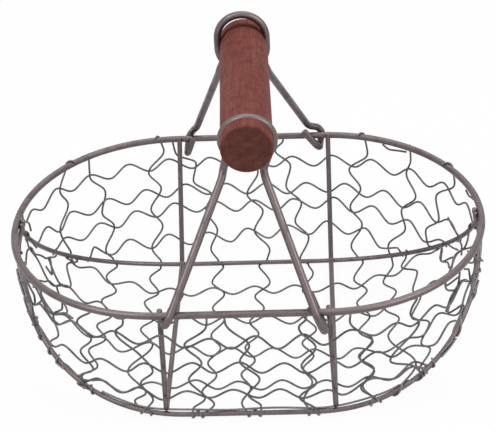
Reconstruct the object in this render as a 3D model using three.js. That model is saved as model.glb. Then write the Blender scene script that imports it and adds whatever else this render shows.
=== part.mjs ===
import * as THREE from "three";

// Wire basket, millimetres, +Z up, long side along X, resting on the table plane.
// Every size below can be changed by itself; everything else is worked out from them.

// Clearance left between pieces that are welded or lie against each other.
const seatGap = 0.3;

// Extra room where a wire lies against the rim's flats and short straight steps.
const facetRoom = 0.3;

// Rim: a flat oval of heavy wire with straight front and back sides.
const rimWire = 4.4;
const rimHalfLength = 150;
const rimHalfWidth = 111.4;
const rimStraightHalf = 49;
const rimAboveKeel = 90;
const rimQuarterSteps = 13;

// Keel wires: two long boat-shaped wires under the basket that climb to the rim's ends.
const keelWire = 3.2;
const keelFlatHalf = 38;
const keelBulge = 3;
const keelTuckLength = 14;
const wallFlare = 23.1;
const keelEndHalfSpacing = 3;
const keelSidePower = 2.2;
const keelDropPower = 2.4;
const keelSteps = 17;
const keelAboveRim = 1;

// Ribs: two U-shaped wires across the inside of the basket, bent by hand and a little askew.
const ribWire = 3.2;
const leftRib = { side: -1, frontTopX: 50, frontFloorX: 52.3, backFloorX: 50.9, backTopX: 48.5 };
const rightRib = { side: 1, frontTopX: 49.9, frontFloorX: 53.3, backFloorX: 54.3, backTopX: 53.9 };
const ribInset = 2.8;
const ribAboveKeel = 2.4;
const ribCornerRadius = 8;
const ribCornerSteps = 4;
const ribFrontRise = 2;
const ribBackRise = 2.6;

// Net: thin crimped wires, crosswise ones outside the keels and lengthwise rows inside those.
const meshWire = 1.2;
const layerGap = 0.55;
const crossCrimp = 4.8;
const crossPitch = 29.5;
const rowCrimp = 4.6;
const rowPitch = 28.5;
const stepsPerCrimp = 4;

// Crosswise wires: places as shares of the keel's length, and where the crimps begin.
const crossPlaces = [-0.9, -0.68, -0.51, -0.344, -0.15, 0.005, 0.18, 0.364, 0.554, 0.708, 0.88];
const floorCrimpStarts = [16.8, 20.7, 5.4, 13.4, 9.9, 24.7, 2, 7, 5.7, 21.5, 25.8];
const backCrimpStarts = [23.4, 16.1, 19.6, 20.4, 0.6, -0.2, 16.8, -2.7, 2.2];
const frontCrimpStarts = [22, 17.8, 10.2, 13.9, 20.1, 25.1, 27.7, 15.1, 14];

// Lengthwise rows: heights as shares of the wall, or places as shares of the floor's half
// width, and one crest's distance from the middle.
const backRows = [
  { share: 0.804, crest: 0 },
  { share: 0.582, crest: 9.7 },
  { share: 0.455, crest: 1.4 },
  { share: 0.226, crest: -4.5 },
];
const frontRows = [
  { share: 0.745, crest: 4.5 },
  { share: 0.479, crest: -5.8 },
  { share: 0.222, crest: -10 },
];
const floorRows = [
  { share: 0.608, crest: 0 },
  { share: 0.195, crest: 10.8 },
  { share: -0.26, crest: 14.4 },
  { share: -0.69, crest: -8.1 },
];
const crossTuck = 1.5;
const rimHookTurn = 215;
const rimHookSteps = 4;

// Handle: a turned wooden grip along Y with one groove near each end.
const handleDiameter = 30;
const handleLength = 152;
const handleAboveRim = 90.8;
const grooveSpan = 130;
const grooveWidth = 7.4;
const grooveDepth = 2;
const handleEndRound = 1.6;
const handleSides = 24;

// Bails: bent wires that carry the handle and hook round the rim's straight sides.
const bailWire = 4;
const loopSideGap = 1.15;
const loopSteps = 5;
const loopFoot = 0.63;
const loopFootSteps = 2;
const neckHalfWidth = 12.6;
const neckDrop = 15.5;
const neckFlare = 0.9;
const neckBend = 5;
const hookGap = 0.4;
const hookTurnSteps = 5;
const frontBail = {
  side: -1,
  loopX: 4.5,
  loopRise: 0,
  neckShift: -1.6,
  hookLean: 1,
  leftFromRib: 2.8,
  rightFromRib: 3.3,
  hookDrop: 8,
  turnIn: 1,
  jog: 0,
  jogHeight: 0,
  leftStubIn: 10.7,
  rightStubIn: 5.2,
  stubRise: 16,
};
const backBail = {
  side: 1,
  loopX: -0.6,
  loopRise: 7.2,
  neckShift: 2.9,
  hookLean: 0,
  leftFromRib: 1,
  rightFromRib: 3.4,
  hookDrop: 12.5,
  turnIn: 3.2,
  jog: 10.5,
  jogHeight: 7,
  leftStubIn: 7.8,
  rightStubIn: 11,
  stubRise: 6,
};
const jogShoulder = 3;
const jogWidening = 2;

// Sides of the wires' cross-sections, and how finely the curves are sampled.
const frameSides = 8;
const netSides = 4;
const curveSamples = 400;
const nudge = 0.5;
const nudgeUp = 0.01;
const sharpestMitre = 0.8;
const easeStep = 0.1;

// Derived positions shared by all pieces.
const meshHalf = flatsFor(meshWire, netSides);
const crossOffset = keelWire / 2 + seatGap + meshHalf;
const rowOffset = crossOffset - 2 * meshHalf - layerGap;
const keelZ = crossOffset + meshHalf;
const rimZ = keelZ + rimAboveKeel;
const handleZ = rimZ + handleAboveRim;
const keelHalfWidth = rimHalfWidth - wallFlare;
const keelHalfLength = rimHalfLength - rimWire / 2 - seatGap - facetRoom - keelWire / 2 + keelBulge;

const metal = (hex) => new THREE.MeshStandardMaterial({ color: hex, roughness: 0.55, metalness: 0.55 });
const frameColour = 0x7a6f70;
const netColour = 0x57534f;
const woodColour = 0x7d4740;

const v3 = (x, y, z) => new THREE.Vector3(x, y, z);

// Keel outline over its arc length: half width of the floor strip and height, as a table.
const keelTable = [];
for (let i = 0; i <= curveSamples; i += 1) {
  const turn = (i / curveSamples) * (Math.PI / 2);
  const along = Math.sin(turn) ** (2 / keelSidePower);
  const drop = Math.cos(turn) ** (2 / keelDropPower);
  const height = rimAboveKeel * (1 - drop);
  const tucked = height - (rimAboveKeel - rimWire / 2 - keelTuckLength);
  const near = Math.min(1, Math.max(0, tucked / keelTuckLength));
  const x = keelFlatHalf + (keelHalfLength - keelFlatHalf) * along - keelBulge * near * near;
  const y = keelEndHalfSpacing + (keelHalfWidth - keelEndHalfSpacing) * drop;
  const last = keelTable[keelTable.length - 1];
  const arc = last ? last.arc + Math.hypot(x - last.x, height - last.h) : x;
  keelTable.push({ arc, x, y, h: height });
}
const keelArc = keelTable[keelTable.length - 1].arc;

// Reads the table at a value of one column; the flat middle lies before its first entry.
function keelAt(column, value) {
  const first = keelTable[0];
  if (value <= first[column]) {
    return { arc: value, x: value, y: first.y, h: 0 };
  }
  let k = 1;
  while (k < keelTable.length - 1 && keelTable[k][column] < value) {
    k += 1;
  }
  const a = keelTable[k - 1];
  const b = keelTable[k];
  const f = Math.min(1, (value - a[column]) / (b[column] - a[column]));
  const mix = (name) => a[name] + (b[name] - a[name]) * f;
  return { arc: mix("arc"), x: mix("x"), y: mix("y"), h: mix("h") };
}

// The keel where it crosses a given x, up to its widest point.
const keelReach = keelTable.reduce((most, row) => Math.max(most, row.x), 0) - nudgeUp;
function keelAtX(x) {
  return keelAt("x", Math.min(Math.abs(x), keelReach));
}

// Half width of the rim's centreline at x.
function rimHalfWidthAt(x) {
  const past = Math.max(0, Math.abs(x) - rimStraightHalf) / (rimHalfLength - rimStraightHalf);
  return rimHalfWidth * Math.sqrt(Math.max(0, 1 - past * past));
}

// Point on a side wall: straight up the wall from keel (0) to rim (1) at one x.
function wallPoint(side, x, up) {
  const foot = keelAtX(x);
  const y = foot.y + (rimHalfWidthAt(x) - foot.y) * up;
  return v3(x, side * y, keelZ + foot.h + (rimAboveKeel - foot.h) * up);
}

function wallNormal(side, x, up) {
  const alongX = wallPoint(side, x + nudge, up).sub(wallPoint(side, x - nudge, up));
  const alongUp = wallPoint(side, x, up + nudgeUp).sub(wallPoint(side, x, up - nudgeUp));
  return alongX.cross(alongUp).normalize().multiplyScalar(-side);
}

// Point on the floor strip between the keels, at a signed arc length and a y.
function floorPoint(arc, y) {
  const row = keelAt("arc", Math.abs(arc));
  return v3(Math.sign(arc) * row.x, y, keelZ + row.h);
}

function floorNormal(arc) {
  const ahead = floorPoint(arc + nudge, 0).sub(floorPoint(arc - nudge, 0)).normalize();
  return v3(ahead.z, 0, -ahead.x);
}

// Crimps: flat-topped waves, with a bend at the middle of each step.
function crimpStations(length, pitch) {
  const count = Math.max(2, Math.round((length / pitch) * stepsPerCrimp));
  const stations = [];
  for (let i = 0; i < count; i += 1) {
    stations.push(((i + 0.5) / count) * length);
  }
  return stations;
}

function crossWave(place, start) {
  return crossCrimp * Math.sin(((place - start) / crossPitch) * 2 * Math.PI);
}

function rowWave(place, crest) {
  return rowCrimp * Math.cos(((place - crest) / rowPitch) * 2 * Math.PI);
}

// Sweeps a closed section along points; ups fix the section's turn, or null to carry it along.
function sweep(points, ups, half, sides, closed) {
  const n = points.length;
  const positions = [];
  const index = [];
  let carried = null;
  for (let i = 0; i < n; i += 1) {
    const before = closed ? points[(i + n - 1) % n] : points[Math.max(0, i - 1)];
    const after = closed ? points[(i + 1) % n] : points[Math.min(n - 1, i + 1)];
    const inward = points[i].clone().sub(before).normalize();
    const outward = after.clone().sub(points[i]).normalize();
    const tangent = inward.clone().add(outward).normalize();
    const up = ups ? ups[i].clone() : carried || anyAcross(tangent);
    up.addScaledVector(tangent, -up.dot(tangent)).normalize();
    carried = up.clone();
    const across = tangent.clone().cross(up);
    const bend = outward.clone().sub(inward);
    const inside = closed || (i > 0 && i < n - 1);
    const mitre = inside ? 1 / Math.max(sharpestMitre, tangent.dot(outward)) : 1;
    const bendWay = bend.lengthSq() > 0 ? bend.normalize() : across;
    for (let k = 0; k < sides; k += 1) {
      const angle = ((k + 0.5) / sides) * 2 * Math.PI;
      const spread = half / Math.cos(Math.PI / sides);
      const offset = up.clone().multiplyScalar(Math.cos(angle) * spread);
      offset.addScaledVector(across, Math.sin(angle) * spread);
      offset.addScaledVector(bendWay, offset.dot(bendWay) * (mitre - 1));
      const corner = points[i].clone().add(offset);
      positions.push(corner.x, corner.y, corner.z);
    }
  }
  const rings = closed ? n : n - 1;
  for (let i = 0; i < rings; i += 1) {
    const a = i * sides;
    const b = ((i + 1) % n) * sides;
    for (let k = 0; k < sides; k += 1) {
      const next = (k + 1) % sides;
      index.push(a + k, b + next, b + k, a + k, a + next, b + next);
    }
  }
  if (!closed) {
    const end = (n - 1) * sides;
    for (let k = 1; k < sides - 1; k += 1) {
      index.push(0, k + 1, k);
      index.push(end, end + k, end + k + 1);
    }
  }
  const geometry = new THREE.BufferGeometry();
  geometry.setAttribute("position", new THREE.Float32BufferAttribute(positions, 3));
  geometry.setIndex(index);
  geometry.computeVertexNormals();
  return geometry;
}

// A direction square to another: upwards where that is possible.
function anyAcross(direction) {
  const level = Math.abs(direction.z) < Math.SQRT1_2;
  const pick = level ? v3(0, 0, 1) : v3(0, 1, 0);
  return pick.addScaledVector(direction, -pick.dot(direction)).normalize();
}

// Radius of the flats that gives a many-sided section the same area as a round wire.
function flatsFor(diameter, sides) {
  return (diameter / 2) * Math.sqrt(Math.PI / (sides * Math.tan(Math.PI / sides)));
}

function roundWire(points, diameter, closed) {
  return sweep(points, null, flatsFor(diameter, frameSides), frameSides, closed);
}

const basket = new THREE.Group();

function addPiece(name, geometry, material) {
  const piece = new THREE.Mesh(geometry, material);
  piece.name = name;
  basket.add(piece);
}

// Rim.
const rimPoints = [];
for (let quarter = 0; quarter < 4; quarter += 1) {
  for (let i = 0; i <= rimQuarterSteps; i += 1) {
    const turn = ((quarter + i / rimQuarterSteps) * Math.PI) / 2;
    const centre = quarter === 0 || quarter === 3 ? rimStraightHalf : -rimStraightHalf;
    const x = centre + (rimHalfLength - rimStraightHalf) * Math.cos(turn);
    const y = rimHalfWidth * Math.sin(turn);
    const shared = i === 0 && (quarter === 2 || quarter === 0);
    if (!shared) {
      rimPoints.push(v3(x, y, rimZ));
    }
  }
}
addPiece("rim_wire", roundWire(rimPoints, rimWire, true), metal(frameColour));

// Keel wires.
function keelPath(side) {
  const places = [0];
  for (let i = 1; i <= keelSteps; i += 1) {
    places.push(keelFlatHalf + ((keelArc - keelFlatHalf) * i) / keelSteps);
  }
  places.splice(1, 0, keelFlatHalf);
  const half = places.map((arc) => {
    const row = keelAt("arc", arc);
    return v3(row.x, side * row.y, keelZ + row.h);
  });
  const top = half[half.length - 1];
  half.push(v3(top.x, top.y, top.z + keelAboveRim));
  const mirrored = half.slice(1).map((p) => v3(-p.x, p.y, p.z)).reverse();
  return mirrored.concat(half.slice(1));
}
addPiece("front_keel_wire", roundWire(keelPath(-1), keelWire, false), metal(frameColour));
addPiece("back_keel_wire", roundWire(keelPath(1), keelWire, false), metal(frameColour));

// Ribs.
function ribPath(rib) {
  const besideRim = rimWire / 2 + seatGap + facetRoom + ribWire / 2;
  const footY = keelHalfWidth - ribInset;
  const footZ = keelZ + ribAboveKeel;
  const onSide = (way, topX, floorX, rise) => {
    const topY = rimHalfWidthAt(topX + ribWire / 2) - besideRim;
    const wall = v3(0, topY - footY, rimZ - footZ).normalize();
    const lean = Math.atan2(wall.z, wall.y);
    const setback = ribCornerRadius * Math.tan(lean / 2);
    const path = [];
    const put = (y, z) => {
      const x = floorX + ((topX - floorX) * (z - footZ)) / (rimZ - footZ);
      path.push(v3(rib.side * x, way * y, z));
    };
    put(footY + (wall.y * (rimZ + rise - footZ)) / wall.z, rimZ + rise);
    for (let i = ribCornerSteps; i >= 0; i -= 1) {
      const turn = (lean * i) / ribCornerSteps;
      const y = footY - setback + ribCornerRadius * Math.sin(turn);
      put(y, footZ + ribCornerRadius * (1 - Math.cos(turn)));
    }
    return path;
  };
  const front = onSide(-1, rib.frontTopX, rib.frontFloorX, ribFrontRise);
  const back = onSide(1, rib.backTopX, rib.backFloorX, ribBackRise);
  return front.concat(back.reverse());
}
addPiece("left_rib", roundWire(ribPath(leftRib), ribWire, false), metal(frameColour));
addPiece("right_rib", roundWire(ribPath(rightRib), ribWire, false), metal(frameColour));

// Net wires have a square section of the round wire's area, so those below stand flat.
function netWire(points, ups) {
  return sweep(points, ups, meshHalf, netSides, false);
}

// Crosswise net wires of the floor strip.
crossPlaces.forEach((share, i) => {
  const arc = share * keelArc;
  const half = keelAt("arc", Math.abs(arc)).y - crossTuck - seatGap;
  const points = [];
  const ups = [];
  const put = (y, wave) => {
    const up = floorNormal(arc + wave);
    points.push(floorPoint(arc + wave, y).addScaledVector(up, crossOffset));
    ups.push(up);
  };
  const span = half - crossTuck;
  put(-half, 0);
  put(-span, 0);
  const stations = crimpStations(2 * span, crossPitch);
  stations.forEach((place) => put(place - span, crossWave(place - span, floorCrimpStarts[i])));
  put(span, 0);
  put(half, 0);
  addPiece(`floor_cross_${i + 1}`, netWire(points, ups), metal(netColour));
});

// Crosswise net wires of one side wall, hooked over the rim and turned under the keel.
function wallCross(side, arc, start) {
  const x = Math.sign(arc) * keelAt("arc", Math.abs(arc)).x;
  const foot = wallPoint(side, x, 0);
  const length = wallPoint(side, x, 1).sub(foot).length();
  const outward = wallNormal(side, x, nudgeUp);
  const under = floorNormal(arc);
  const middle = outward.clone().add(under).normalize();
  const hold = foot.clone().addScaledVector(under, crossOffset);
  const points = [hold.clone().add(v3(0, -side * crossTuck, 0)), hold];
  const ups = [under, under, middle, outward];
  points.push(foot.clone().addScaledVector(middle, crossOffset));
  points.push(foot.clone().addScaledVector(outward, crossOffset));
  const rimOffset = rimWire / 2 + seatGap + meshHalf;
  crimpStations(length, crossPitch).forEach((place) => {
    const share = place / length;
    const wave = crossWave(place, start);
    const normal = wallNormal(side, x + wave, share);
    const offset = crossOffset + (rimOffset - crossOffset) * share;
    points.push(wallPoint(side, x + wave, share).addScaledVector(normal, offset));
    ups.push(normal);
  });
  const centre = v3(x, side * rimHalfWidthAt(x), rimZ);
  const slope = (rimHalfWidthAt(x + nudge) - rimHalfWidthAt(x - nudge)) * side;
  const along = v3(2 * nudge, slope, 0).normalize();
  const out = v3(0, 0, 1).cross(along).multiplyScalar(side);
  const step = (rimHookTurn / rimHookSteps) * (Math.PI / 180);
  for (let i = 0; i <= rimHookSteps; i += 1) {
    const way = out.clone().multiplyScalar(Math.cos(step * i)).add(v3(0, 0, Math.sin(step * i)));
    points.push(centre.clone().addScaledVector(way, rimOffset / Math.cos(step / 2)));
    ups.push(way);
  }
  return netWire(points, ups);
}
crossPlaces.slice(1, -1).forEach((share, i) => {
  const arc = share * keelArc;
  addPiece(`front_cross_${i + 1}`, wallCross(-1, arc, frontCrimpStarts[i]), metal(netColour));
  addPiece(`back_cross_${i + 1}`, wallCross(1, arc, backCrimpStarts[i]), metal(netColour));
});

// Spreads stations evenly over a curve given by a function of a parameter. Each station
// gets its place along the curve, measured from the middle.
function evenly(curve, from, to, make) {
  const fine = [];
  let total = 0;
  let last = null;
  for (let i = 0; i <= curveSamples; i += 1) {
    const t = from + ((to - from) * i) / curveSamples;
    const p = curve(t);
    total += last ? p.distanceTo(last) : 0;
    last = p;
    fine.push({ t, total });
  }
  const find = (place) => {
    let k = 1;
    while (k < fine.length - 1 && fine[k].total < place) {
      k += 1;
    }
    const a = fine[k - 1];
    const b = fine[k];
    return a.t + ((b.t - a.t) * (place - a.total)) / (b.total - a.total);
  };
  const middle = total / 2;
  make(-middle, from, true);
  crimpStations(total, rowPitch).forEach((place) => make(place - middle, find(place), false));
  make(middle, to, true);
}

// Distance from a point to the nearer keel's centreline.
function keelDistance(point) {
  const away = keelTable.map((row) => {
    const dx = Math.abs(point.x) - row.x;
    const dy = Math.abs(point.y) - row.y;
    return Math.hypot(dx, dy, point.z - keelZ - row.h);
  });
  return Math.min(...away);
}

// How far a row can run from the middle of the basket before it would meet a keel.
const rowEndGap = keelWire / 2 + seatGap + meshHalf * Math.SQRT2;
function rowReach(pointAt, longest) {
  const step = longest / curveSamples;
  let reach = 0;
  while (reach + step < longest && keelDistance(pointAt(reach + step)) > rowEndGap) {
    reach += step;
  }
  return reach;
}

// A crimp that would meet a keel is made lower until it clears.
function easedCrimp(spotAt, wave) {
  let share = 1;
  while (share > 0 && keelDistance(spotAt(wave * share).point) < rowEndGap) {
    share -= easeStep;
  }
  return spotAt(wave * Math.max(0, share));
}

// Lengthwise rows of a wall run at one height and stop against the keel at both ends.
function wallRow(side, height, crest) {
  const end = keelAt("h", height);
  const at = (turn) => Math.sin(turn) * end.x;
  const onWall = (turn, h) => {
    const x = at(turn);
    const foot = keelAtX(x);
    const share = (h - foot.h) / (rimAboveKeel - foot.h);
    const normal = wallNormal(side, x, share);
    return { point: wallPoint(side, x, share).addScaledVector(normal, rowOffset), normal };
  };
  const reach = rowReach((turn) => onWall(turn, height).point, Math.PI / 2);
  const points = [];
  const ups = [];
  evenly((turn) => onWall(turn, height).point, -reach, reach, (place, turn, tip) => {
    const wave = tip ? 0 : rowWave(place, crest);
    const spot = easedCrimp((rise) => onWall(turn, height + rise), wave);
    points.push(spot.point);
    ups.push(spot.normal);
  });
  return netWire(points, ups);
}
frontRows.forEach(({ share, crest }, i) => {
  addPiece(`front_row_${i + 1}`, wallRow(-1, rimAboveKeel * share, crest), metal(netColour));
});
backRows.forEach(({ share, crest }, i) => {
  addPiece(`back_row_${i + 1}`, wallRow(1, rimAboveKeel * share, crest), metal(netColour));
});

// Lengthwise rows of the floor strip follow the keels' outline up both ends.
floorRows.forEach(({ share, crest }, i) => {
  const y = keelHalfWidth * share;
  const onFloor = (arc, place) => {
    const normal = floorNormal(arc);
    return { point: floorPoint(arc, place).addScaledVector(normal, rowOffset), normal };
  };
  const reach = rowReach((arc) => onFloor(arc, y).point, keelArc);
  const points = [];
  const ups = [];
  const places = crimpStations(2 * reach, rowPitch);
  const stations = places.map((place) => [place - reach, rowWave(place - reach, crest)]);
  [[-reach, 0], ...stations, [reach, 0]].forEach(([arc, height]) => {
    const spot = easedCrimp((sway) => onFloor(arc, y + sway), height);
    points.push(spot.point);
    ups.push(spot.normal);
  });
  addPiece(`floor_row_${i + 1}`, netWire(points, ups), metal(netColour));
});

// Handle, turned about Y.
const handleRadius = handleDiameter / 2;
const halfHandle = handleLength / 2;
const grooveIn = grooveSpan / 2 - grooveWidth / 2;
const grooveOut = grooveSpan / 2 + grooveWidth / 2;
const handleProfile = [
  [0, halfHandle],
  [handleRadius - handleEndRound, halfHandle],
  [handleRadius, halfHandle - handleEndRound],
  [handleRadius, grooveOut],
  [handleRadius - grooveDepth, grooveOut - grooveDepth / 4],
  [handleRadius - grooveDepth, grooveIn + grooveDepth / 4],
  [handleRadius, grooveIn],
];
const mirroredProfile = handleProfile.map(([r, y]) => [r, -y]).reverse();
const outline = handleProfile.concat(mirroredProfile).map(([r, y]) => new THREE.Vector2(r, y));
const handleShape = new THREE.LatheGeometry(outline.reverse(), handleSides);
const wood = new THREE.MeshStandardMaterial({ color: woodColour, roughness: 0.7, metalness: 0 });
handleShape.rotateZ(Math.atan2(frontBail.loopX - backBail.loopX, grooveSpan));
handleShape.translate((frontBail.loopX + backBail.loopX) / 2, 0, handleZ);
addPiece("wooden_handle", handleShape, wood);

// Bails: half of one, from its hook's free end to the top of its loop. The foot is the
// outer arm of the hook, beside the rib that keeps it in place on the rim.
const loopRadius = handleRadius - grooveDepth + loopSideGap + bailWire / 2;
const hold = rimWire / 2 + hookGap + bailWire / 2;
function bailSide(bail, way) {
  const rib = way < 0 ? leftRib : rightRib;
  const ribX = bail.side < 0 ? rib.frontTopX : rib.backTopX;
  const footX = ribX - (way < 0 ? bail.leftFromRib : bail.rightFromRib);
  const stubX = footX - (way < 0 ? bail.leftStubIn : bail.rightStubIn);
  const loopX = way * bail.loopX;
  const neckX = loopX + way * bail.neckShift + neckHalfWidth;
  const loopY = grooveSpan / 2;
  const loopZ = handleZ + bail.loopRise;
  const neckZ = handleZ - neckDrop;
  const distance = Math.hypot(rimHalfWidth - loopY, neckZ - rimZ);
  const lean = Math.atan2(rimHalfWidth - loopY, neckZ - rimZ) + Math.asin(hold / distance);
  const legLength = Math.sqrt(distance * distance - hold * hold);
  const path = [];
  const put = (tilt, x, along, off) => {
    const y = rimHalfWidth - Math.sin(tilt) * along + Math.cos(tilt) * off;
    path.push([x, y, rimZ + Math.cos(tilt) * along + Math.sin(tilt) * off]);
  };
  const hookTilt = lean * bail.hookLean;
  const turnFoot = hold - bail.hookDrop;
  put(hookTilt, stubX, bail.stubRise, -hold);
  for (let i = 0; i <= hookTurnSteps; i += 1) {
    const turn = (i / hookTurnSteps) * Math.PI;
    const x = footX - bail.turnIn * (1 - i / hookTurnSteps);
    put(hookTilt, x, turnFoot - hold * Math.sin(turn), -hold * Math.cos(turn));
  }
  if (bail.jog > 0) {
    put(hookTilt, footX, 0, hold);
    put(hookTilt, footX - jogShoulder, bail.jogHeight - jogShoulder, hold);
    put(lean, footX - bail.jog + jogWidening, bail.jogHeight - jogShoulder / 2, hold);
    put(lean, footX - bail.jog, bail.jogHeight + jogShoulder / 2, hold);
  }
  put(lean, neckX + neckFlare, legLength - neckBend, hold);
  path.push([neckX, loopY, neckZ]);
  for (let i = loopFootSteps; i > 0; i -= 1) {
    const turn = (loopFoot * i) / loopFootSteps;
    path.push([loopX + loopRadius * Math.cos(turn), loopY, handleZ - loopRadius * Math.sin(turn)]);
  }
  if (bail.loopRise > 0) {
    path.push([loopX + loopRadius, loopY, handleZ]);
  }
  for (let i = 0; i <= loopSteps; i += 1) {
    const turn = ((Math.PI / 2) * i) / loopSteps;
    path.push([loopX + loopRadius * Math.cos(turn), loopY, loopZ + loopRadius * Math.sin(turn)]);
  }
  return path.map(([x, y, z]) => v3(way * x, bail.side * y, z));
}

function bailPath(bail) {
  return bailSide(bail, 1).concat(bailSide(bail, -1).slice(0, -1).reverse());
}
addPiece("front_bail", roundWire(bailPath(frontBail), bailWire, false), metal(frameColour));
addPiece("back_bail", roundWire(bailPath(backBail), bailWire, false), metal(frameColour));

export default basket;
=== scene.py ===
"""Looks of a wire basket: round wires, a crimped net and a turned wooden grip.

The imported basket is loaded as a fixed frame. Each operator makes one piece, or a group of
like pieces: a path in space is worked out from the basket's own formulas and a round section
is carried along it. Sizes are kept in metres; the shapes are worked out in millimetres.
"""

import math

import bpy
import numpy as np
from mathutils import Matrix


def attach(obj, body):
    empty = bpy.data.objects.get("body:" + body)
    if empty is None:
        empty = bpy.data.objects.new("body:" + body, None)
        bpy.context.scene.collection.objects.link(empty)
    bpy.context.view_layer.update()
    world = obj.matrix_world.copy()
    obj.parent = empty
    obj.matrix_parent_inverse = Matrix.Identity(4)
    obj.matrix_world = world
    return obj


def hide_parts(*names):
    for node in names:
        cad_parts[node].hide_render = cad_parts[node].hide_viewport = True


bl_info = {
    "name": "Wire basket",
    "version": (1, 0, 0),
    "blender": (4, 5, 0),
    "location": "View3D > Sidebar > Basket",
    "description": "Adds the round wires, the crimped net and the wooden grip of a wire basket",
    "category": "Add Mesh",
}

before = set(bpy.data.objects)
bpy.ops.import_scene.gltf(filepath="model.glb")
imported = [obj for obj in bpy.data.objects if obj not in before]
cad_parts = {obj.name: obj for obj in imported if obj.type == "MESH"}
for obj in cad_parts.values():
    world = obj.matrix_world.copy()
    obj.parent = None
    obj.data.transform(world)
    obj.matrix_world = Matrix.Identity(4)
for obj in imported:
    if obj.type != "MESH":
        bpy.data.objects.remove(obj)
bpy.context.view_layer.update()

MM = 0.001
# Point attributes: the place along and around a wire, and where a net wire is wrapped, at which the
# net is painted paler as a painted highlight.
WIRE_COORDINATES = "along_wire"
WRAPPED = "wrapped"

# Lengths below are in millimetres, apart from the stage's, which are in metres.
# From the basket's solids: the gap at a joined place, and half of the net wire's section.
SEAT_GAP = 0.3
SOLID_NET_HALF = 0.6 * math.sqrt(math.pi / 4)
# Gaps: between the net's two layers, at the net's hooks on the rim, of wraps and strands on a
# keel, of a row's end on its keel, and of a row from the keel before its wrap begins.
LAYER_GAP = 0.1
NET_HOOK_GAP = 0.05
KEEL_WRAP_GAP = 0.02
ROW_WRAP_GAP = 0.06
ROW_END_GAP = 0.25
# Short steps over which slopes are taken, the last one as a share of a wall's height.
SLOPE_STEP = 0.5
KEEL_STEP = 0.2
RIM_STEP = 0.1
SLOPE_SHARE = 0.01

# Sides of the round sections: of the rim and bails, of the keels and ribs, and of the net.
THICK_SIDES = 24
FRAME_SIDES = 20
NET_SIDES = 10
# Spacing of the rings along each kind of wire, and how softly the heavy wires bend.
RIM_SPACING = 1.5
KEEL_SPACING, KEEL_SOFTNESS = 1.2, 1.2
RIB_SPACING, RIB_SOFTNESS = 1.0, 1.2
BAIL_SPACING, BAIL_SOFTNESS = 0.8, 1.1
NET_SPACING = 0.8
# How far a wire's square end is bevelled, as a share of its radius.
BEVEL = 0.2
# How many points each path is worked out from, before it is evened out.
RIM_POINTS = 1440
OUTLINE_POINTS = 401
KEEL_POINTS = 601
CORNER_POINTS = 12
LOOP_FOOT_POINTS = 10
BEND_POINTS = 25
HOOK_POINTS = 40
WRAP_POINTS = 70
ROW_WRAP_POINTS = 50
STRAND_POINTS = 300
FLAT_POINTS = 60
# Steps at which the bends are read: of crosswise wires, of the floor's rows, of the end wires,
# and of the walls' rows, as an angle in radians.
CROSS_READ = 1.0
FLOOR_READ = 0.6
END_READ = 0.5
WALL_READ = 0.004

# An oval end's power is 2 where it is an ellipse; the rim's left end is a little fuller.
ELLIPSE_POWER = 2.0
RIM_LEFT_POWER = 2.07

# Keel outline: half of the flat middle, the bulge below the rim and the height over which it is
# drawn in again, half of the keels' distance at their ends, the powers of the curve lengthwise,
# downwards and across, and how far the ends go on upwards.
KEEL_FLAT_HALF = 38.0
KEEL_BULGE = 3.0
KEEL_TUCK = 14.0
KEEL_END_HALF_SPACING = 2.4
KEEL_SIDE_POWER = 2.2
KEEL_DROP_POWER = 2.4
KEEL_NARROWING = 1.18
KEEL_ABOVE_RIM = 1.0

# Ribs: side, x at the front top, front floor, back floor and back top.
RIBS = {
    "left_rib": (-1, 50.1, 53.0, 52.0, 49.6),
    "right_rib": (1, 49.9, 53.5, 54.8, 54.4),
}
# A rib's lower corner: how far inside the keel and above it, and its radius. A rib's ends: how
# far inside the rim's middle line, and how far above it at the front and at the back.
RIB_INSET = 2.2
RIB_ABOVE_KEEL = 2.0
RIB_CORNER_RADIUS = 4.0
RIB_BESIDE_RIM = 3.6
RIB_RISES = (2.0, 2.6)

# Bails, pairs being the left and the right half. Loop: its middle's x, how far inside the
# grooves' span it lies, its half width, how far over the grip's axis its upper arc begins, and
# that arc's height. Neck: how far below the grip's axis, and its x. Hook: its share of the
# leg's lean; its x beside the rim, at its lowest point and at its free end; how far it drops
# below the rim's height and how far its free end rises over it. Jog of a foot: its width and
# its height over the rim.
BAILS = {
    "front_bail": {
        "side": -1, "loop_x": 4.7, "loop_in": 1.5, "loop_radius": 15.55, "loop_rise": 0.0,
        "loop_top": 14.2, "neck_drop": 20.0, "neck_x": (10.4, 13.4), "hook_lean": 0.44,
        "rim_x": (43.8, 42.2), "low_x": (47.0, 47.0), "drop": (5.6, 11.2),
        "free_x": (36.8, 38.6), "free_rise": (13.2, 11.0), "jog": (0.0, 0.0), "jog_height": 0.0,
    },
    "back_bail": {
        "side": 1, "loop_x": -0.9, "loop_in": 0.7, "loop_radius": 15.8, "loop_rise": 7.3,
        "loop_top": 15.7, "neck_drop": 15.5, "neck_x": (16.4, 14.6), "hook_lean": 0.0,
        "rim_x": (43.2, 50.6), "low_x": (44.8, 48.8), "drop": (10.6, 8.7),
        "free_x": (39.6, 37.5), "free_rise": (3.7, 5.8), "jog": (6.2, 10.5), "jog_height": 7.0,
    },
}
# The grip's x at its front and back groove, and the width of a groove's sloping side.
GRIP_X = (4.2, 0.0)
GROOVE_SLOPE = 1.1
# The grip's surface: sides, rings along its side, on each rounded edge and on each end face,
# the share of the first of these, and its lumps' height as a share and their length.
GRIP_SIDES = 128
SIDE_RINGS = 420
EDGE_RINGS = 8
FACE_RINGS = 13
FIRST_RING = 0.04
GRIP_LUMPS = 0.003
GRIP_LUMP_LENGTH = 17
# A loop's arc begins this far below its middle, in radians. The leg leaves the neck with a bend
# this far below it, where it stands this much further out.
LOOP_FOOT = 0.63
NECK_BEND = 5.0
NECK_FLARE = 0.9
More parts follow.
